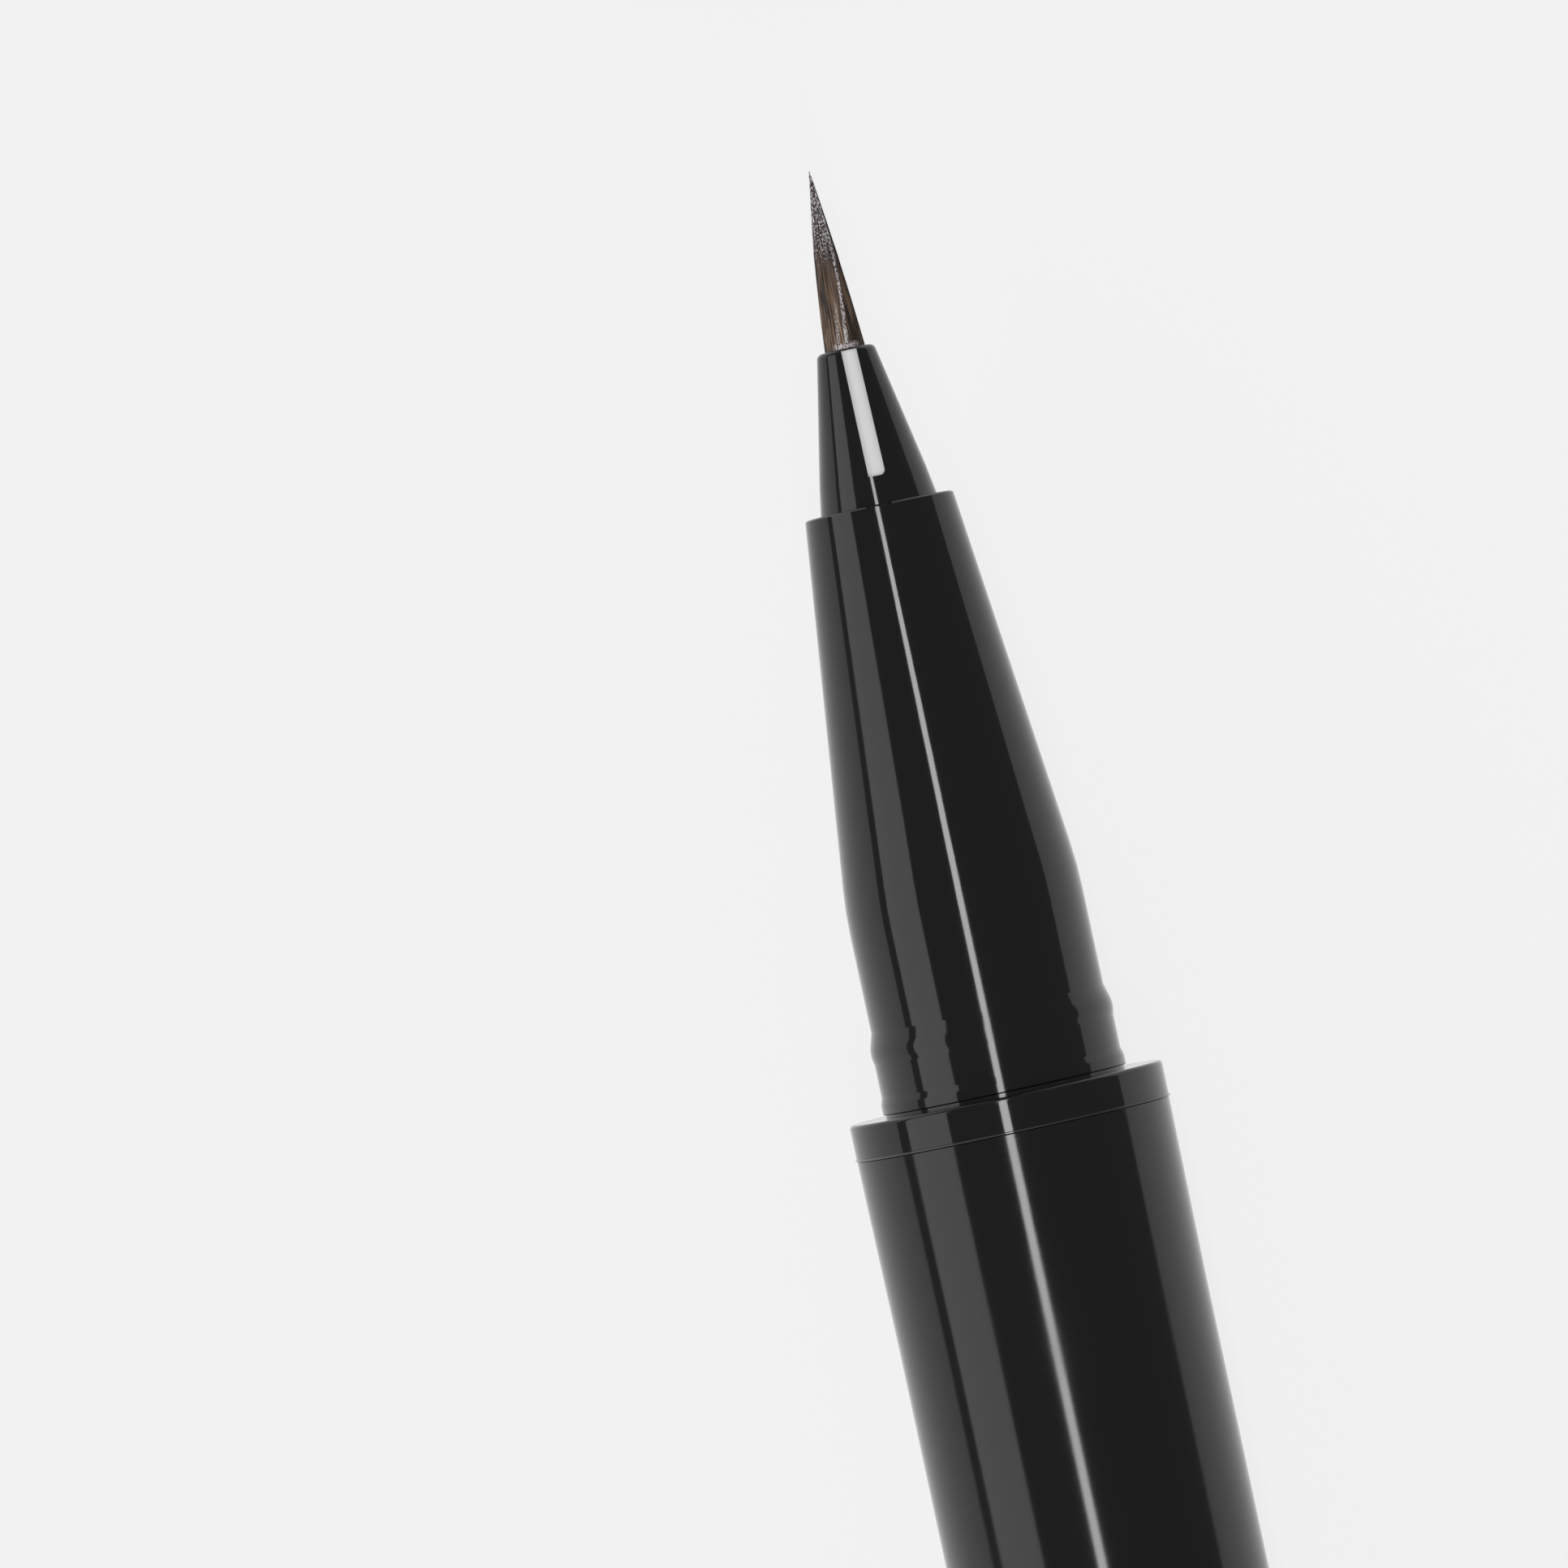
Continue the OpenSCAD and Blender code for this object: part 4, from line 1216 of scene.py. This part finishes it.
@dataclass
class PenBody:
    """The collar with its fine lip, the barrel tube and the plug at the tail.

    fit_radius is what goes into the barrel's bore. The lip's pale colour is a painted highlight that counts
    in full on one side of the pen and fades to a tenth on the other: its shares hold the even part and how
    far it swings.
    """

    lathe: Lathe
    finishes: Range
    joint: float = -1.2
    fit_radius: float = 4.43
    collar_bore: float = 3.97
    collar_bore_fillet: float = 0.03
    collar_radius: float = 5.25
    collar_fillet: float = 0.14
    sleeve_rear: float = -7.0
    lip_front: float = -1.145
    lip_foot: float = -1.13
    lip_radius: float = 5.29
    lip_fillets: Span = (0.02, 0.025)
    lip_from: float = 5.255
    # Even share and swing of the painted highlight on the lip.
    lip_highlight_shares: Span = (0.55, 0.45)
    barrel_bore: float = 4.45
    barrel_rear: float = -89.8
    barrel_radius: float = 5.19
    barrel_fillet: float = 0.05
    swell_rear: float = -7.6
    swell_radius: float = 5.24
    swell_fillet: float = 120.0
    plug_front: float = -85.8
    plug_floor: float = -90.233
    plug_bore: float = 3.53
    plug_fillet: float = 0.1
    tail_end: float = -91.1
    tail_fillet: float = 0.8

    def collar(self) -> bpy.types.Object:
        """Turns the collar and its sleeve, and marks the painted highlight on its lip.

        Returns:
            The collar.
        """
        rear_fillet, front_fillet = self.lip_fillets
        outline: Outline = [
            (0.0, self.collar_bore, self.collar_bore_fillet), (self.sleeve_rear, self.collar_bore, 0),
            (self.sleeve_rear, self.fit_radius, 0), (self.joint, self.fit_radius, 0),
            (self.joint, self.lip_radius, rear_fillet), (self.lip_front, self.lip_radius, front_fillet),
            (self.lip_foot, self.collar_radius, 0), (0.0, self.collar_radius, self.collar_fillet),
        ]
        made = self.lathe.turn("collar_moulding", outline[::-1], closed=True)
        # Painted highlight weights, full on one side of the pen and a tenth on the other.
        marks = [self._lip_highlight_weight(vertex.co) for vertex in made.data.vertices]
        made.data.attributes.new("lip", "FLOAT", "POINT").data.foreach_set("value", marks)
        return made

    def _lip_highlight_weight(self, point: Vector) -> float:
        """Weighs the painted highlight on the lip, paler on one side of the pen.

        Args:
            point: a point of the collar.

        Returns:
            How far the painted highlight counts there.
        """
        centre = self.lathe.axis.at(0.0)
        across, up = point.y - centre.y, point.z - centre.z
        out = math.hypot(across, up)
        even, swing = self.lip_highlight_shares
        return even + swing * across / out if out > self.lip_from * MM else 0.0

    def barrel(self) -> bpy.types.Object:
        """Turns the barrel tube, slightly swelled at the seam.

        Returns:
            The tube.
        """
        outline: Outline = [
            (self.joint, self.barrel_bore, 0), (self.barrel_rear, self.barrel_bore, 0),
            (self.barrel_rear, self.barrel_radius, self.barrel_fillet),
            (self.swell_rear, self.barrel_radius, self.swell_fillet),
            (self.joint, self.swell_radius, self.barrel_fillet),
        ]
        return self.lathe.turn("barrel_tube", outline[::-1], closed=True)

    def tail(self) -> bpy.types.Object:
        """Turns the tail plug, with a rounded head.

        Returns:
            The plug.
        """
        outline: Outline = [
            (self.plug_floor, 0.0, 0), (self.plug_floor, self.plug_bore, 0),
            (self.plug_front, self.plug_bore, 0), (self.plug_front, self.fit_radius, self.plug_fillet),
            (self.barrel_rear, self.fit_radius, 0),
            (self.barrel_rear, self.barrel_radius, self.barrel_fillet),
            (self.tail_end, self.barrel_radius, self.tail_fillet), (self.tail_end, 0.0, 0),
        ]
        return self.lathe.turn("tail_moulding", outline, closed=False)

    def build(self) -> None:
        """Makes and dresses the sub-assembly."""
        dress(self.collar(), self.finishes.gloss, Body.PEN, "collar_black", "collar_ring")
        dress(self.barrel(), self.finishes.lacquer, Body.PEN, "barrel_finish", "barrel")
        dress(self.tail(), self.finishes.lacquer, Body.PEN, "tail_finish", "tail_plug")


@dataclass
class InkSystem:
    """What carries and stirs the ink inside the pen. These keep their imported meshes."""

    finishes: Range

    def build(self) -> None:
        """Gives each piece its finish."""
        refinish("wick", self.finishes.wick)
        refinish("collector", self.finishes.acetal)
        refinish("tank", self.finishes.milky)
        refinish("tank_stopper", self.finishes.liner)
        refinish("mixing_ball", self.finishes.steel)
        for seal in ("tank_gasket", "stopper_seal"):
            refinish(seal, self.finishes.rubber)


@dataclass
class Cap:
    """The outer cap, and the inner cap that snaps on the grip, at their place off the pen.

    Stations count from the cap's mouth. swell_stations are where the mouth's even part ends, where the
    steeper part of the swell ends and where the body's even part starts, with a fillet for each.
    """

    lathe: Lathe
    finishes: Range
    length: float = 44.0
    bore_end: float = 42.4
    bore_radius: float = 4.38
    bore_fillets: Span = (0.3, 0.05)
    mouth_radius: float = 5.28
    mouth_fillet: float = 0.06
    swell_stations: Triple = (2.0, 6.0, 22.0)
    swell_fillets: Triple = (30.0, 30.0, 200.0)
    waist_radius: float = 5.21
    body_radius: float = 5.185
    top_fillet: float = 0.9

    def shift(self) -> float:
        """Returns: how far the cap stands ahead of its closed place."""
        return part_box("cap_shell")[0].x / MM - self.lathe.axis.seam

    def shell(self) -> bpy.types.Object:
        """Turns the outer cap at its place off the pen.

        Returns:
            The outer cap.
        """
        top_fillet, mouth_bore_fillet = self.bore_fillets
        swell_radii = (self.mouth_radius, self.waist_radius, self.body_radius)
        outline: Outline = [
            (self.bore_end, 0.0, 0), (self.bore_end, self.bore_radius, top_fillet),
            (0.0, self.bore_radius, mouth_bore_fillet), (0.0, self.mouth_radius, self.mouth_fillet),
            *zip(self.swell_stations, swell_radii, self.swell_fillets),
            (self.length, self.body_radius, self.top_fillet), (self.length, 0.0, 0),
        ]
        return self.lathe.turn("cap_shell_moulding", outline[::-1], closed=False, shift=self.shift())

    def build(self) -> None:
        """Makes and dresses the sub-assembly."""
        dress(self.shell(), self.finishes.lacquer, Body.CAP, "cap_finish", "cap_shell")
        refinish("cap_inner", self.finishes.liner)


@dataclass(frozen=True)
class SoftBox:
    """A rectangular studio lamp that faces the middle of the part. Sizes and places are in metres."""

    title: str
    place: Triple
    size: Span
    radiance: float

    def hang(self) -> None:
        """Hangs the lamp, turned to the part."""
        _, across, height = self.place
        lamp = bpy.data.lights.new(self.title, "AREA")
        lamp.shape = "RECTANGLE"
        lamp.size, lamp.size_y = self.size
        lamp.energy = self.radiance * math.pi * self.size[0] * self.size[1]
        made = bpy.data.objects.new(self.title, lamp)
        made.location = self.place
        made.rotation_euler = (-math.atan2(across, height), 0.0, 0.0)
        bpy.context.scene.collection.objects.link(made)


@dataclass
class Studio:
    """The white table, the lights above it and the camera of the photograph.

    image is the photograph's side in pixels, tip_pixel where the brush's tip is in it, and lean the pen's
    in degrees. pixel is a pixel's size at the pen's axis and camera_height the height above it, both in
    millimetres. room is the world's strength, and the table's half side is in metres.
    """

    axis: Axis
    white: float = 0.871
    table_half: float = 20.0
    table_shadow: float = 0.1
    table_glow: float = 0.915
    image: int = 1932
    tip_pixel: Span = (994.2, 210.6)
    lean: float = 12.15
    pixel: float = 0.026684
    camera_height: float = 450.0
    clip: Span = (0.01, 100.0)
    room: float = 0.3
    boxes: tuple[SoftBox, ...] = (
        SoftBox("overhead_box", (0.0, 0.04, 0.6), (1.2, 0.06), 9.5),
        SoftBox("side_box", (0.0, 1.0, 0.5), (1.6, 0.7), 1.3),
    )

    def camera(self) -> None:
        """Stands the camera straight over the table, where the pen leans in its frame."""
        turn = math.radians(QUARTER_TURN + self.lean)
        right = Vector((math.cos(-turn), math.sin(-turn), 0.0))
        up = Vector((-right.y, right.x, 0.0))
        from_centre = (self.tip_pixel[0] - self.image / 2, self.image / 2 - self.tip_pixel[1])
        tip = Vector((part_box("brush")[1].x, 0.0, self.axis.height * MM))
        centre = tip - (right * from_centre[0] + up * from_centre[1]) * self.pixel * MM
        data = bpy.data.cameras.new("camera")
        data.sensor_fit = "HORIZONTAL"
        data.angle = 2 * math.atan(self.image * self.pixel / 2 / self.camera_height)
        data.clip_start, data.clip_end = self.clip
        made = bpy.data.objects.new("camera", data)
        made.location = centre + Vector((0.0, 0.0, self.camera_height * MM))
        made.rotation_euler = (0.0, 0.0, -turn)
        bpy.context.scene.collection.objects.link(made)
        bpy.context.scene.camera = made

    def table(self) -> None:
        """Lays the plain white table.

        Camera, gloss and glass see it alike, and it keeps a faint shadow.
        """
        half = self.table_half
        corners = [(-half, -half, 0), (half, -half, 0), (half, half, 0), (-half, half, 0)]
        mesh = bpy.data.meshes.new("table")
        mesh.from_pydata(corners, [], [(0, 1, 2, 3)])
        made = bpy.data.objects.new("table", mesh)
        bpy.context.scene.collection.objects.link(made)
        finish = bpy.data.materials.new("table_white")
        finish.use_nodes = True
        finish.cycles.emission_sampling = "NONE"
        mesh.materials.append(finish)
        bench = Bench(finish.node_tree)
        rays = bench.node("ShaderNodeLightPath")
        plain = bench.wire("ShaderNodeBsdfDiffuse", {}, {"Color": (self.white, self.white, self.white, 1.0)})
        bright = bench.wire("ShaderNodeEmission", {}, {"Strength": self.table_glow})
        shown = (Wire(bench, rays.outputs["Is Camera Ray"]) + Wire(bench, rays.outputs["Is Glossy Ray"])
                 + Wire(bench, rays.outputs["Is Transmission Ray"])).least(1.0)
        share = shown * (1.0 - self.table_shadow)
        seen = bench.wire("ShaderNodeMixShader", {}, {0: share, 1: plain, 2: bright})
        bench.node("ShaderNodeOutputMaterial", {}, {"Surface": seen})

    def world(self) -> None:
        """Makes a plain room, the same to every kind of ray."""
        made = bpy.data.worlds.new("studio")
        bpy.context.scene.world = made
        made.use_nodes = True
        bench = Bench(made.node_tree)
        shader = bench.wire("ShaderNodeBackground", {}, {"Strength": self.room})
        bench.node("ShaderNodeOutputWorld", {}, {"Surface": shader})

    def build(self) -> None:
        """Sets up the camera, the table and the lights."""
        bpy.context.scene.view_settings.view_transform = "Standard"
        self.camera()
        self.table()
        self.world()
        for box in self.boxes:
            box.hang()
        LOG.info("studio: camera, table and %d lights", len(self.boxes))


def main() -> None:
    """Builds the pen's sub-assemblies and the studio."""
    logging.basicConfig(level=logging.INFO, format="%(name)s: %(message)s")
    axis, finishes = Axis.of_frame(), Range()
    lathe = Lathe(axis)
    Studio(axis).build()
    for assembly in (BrushTip(lathe, finishes), Holder(lathe, finishes), Nozzle(lathe, finishes),
                     Grip(lathe, finishes), PenBody(lathe, finishes), InkSystem(finishes),
                     Cap(lathe, finishes)):
        assembly.build()


if __name__ == "__main__":
    main()
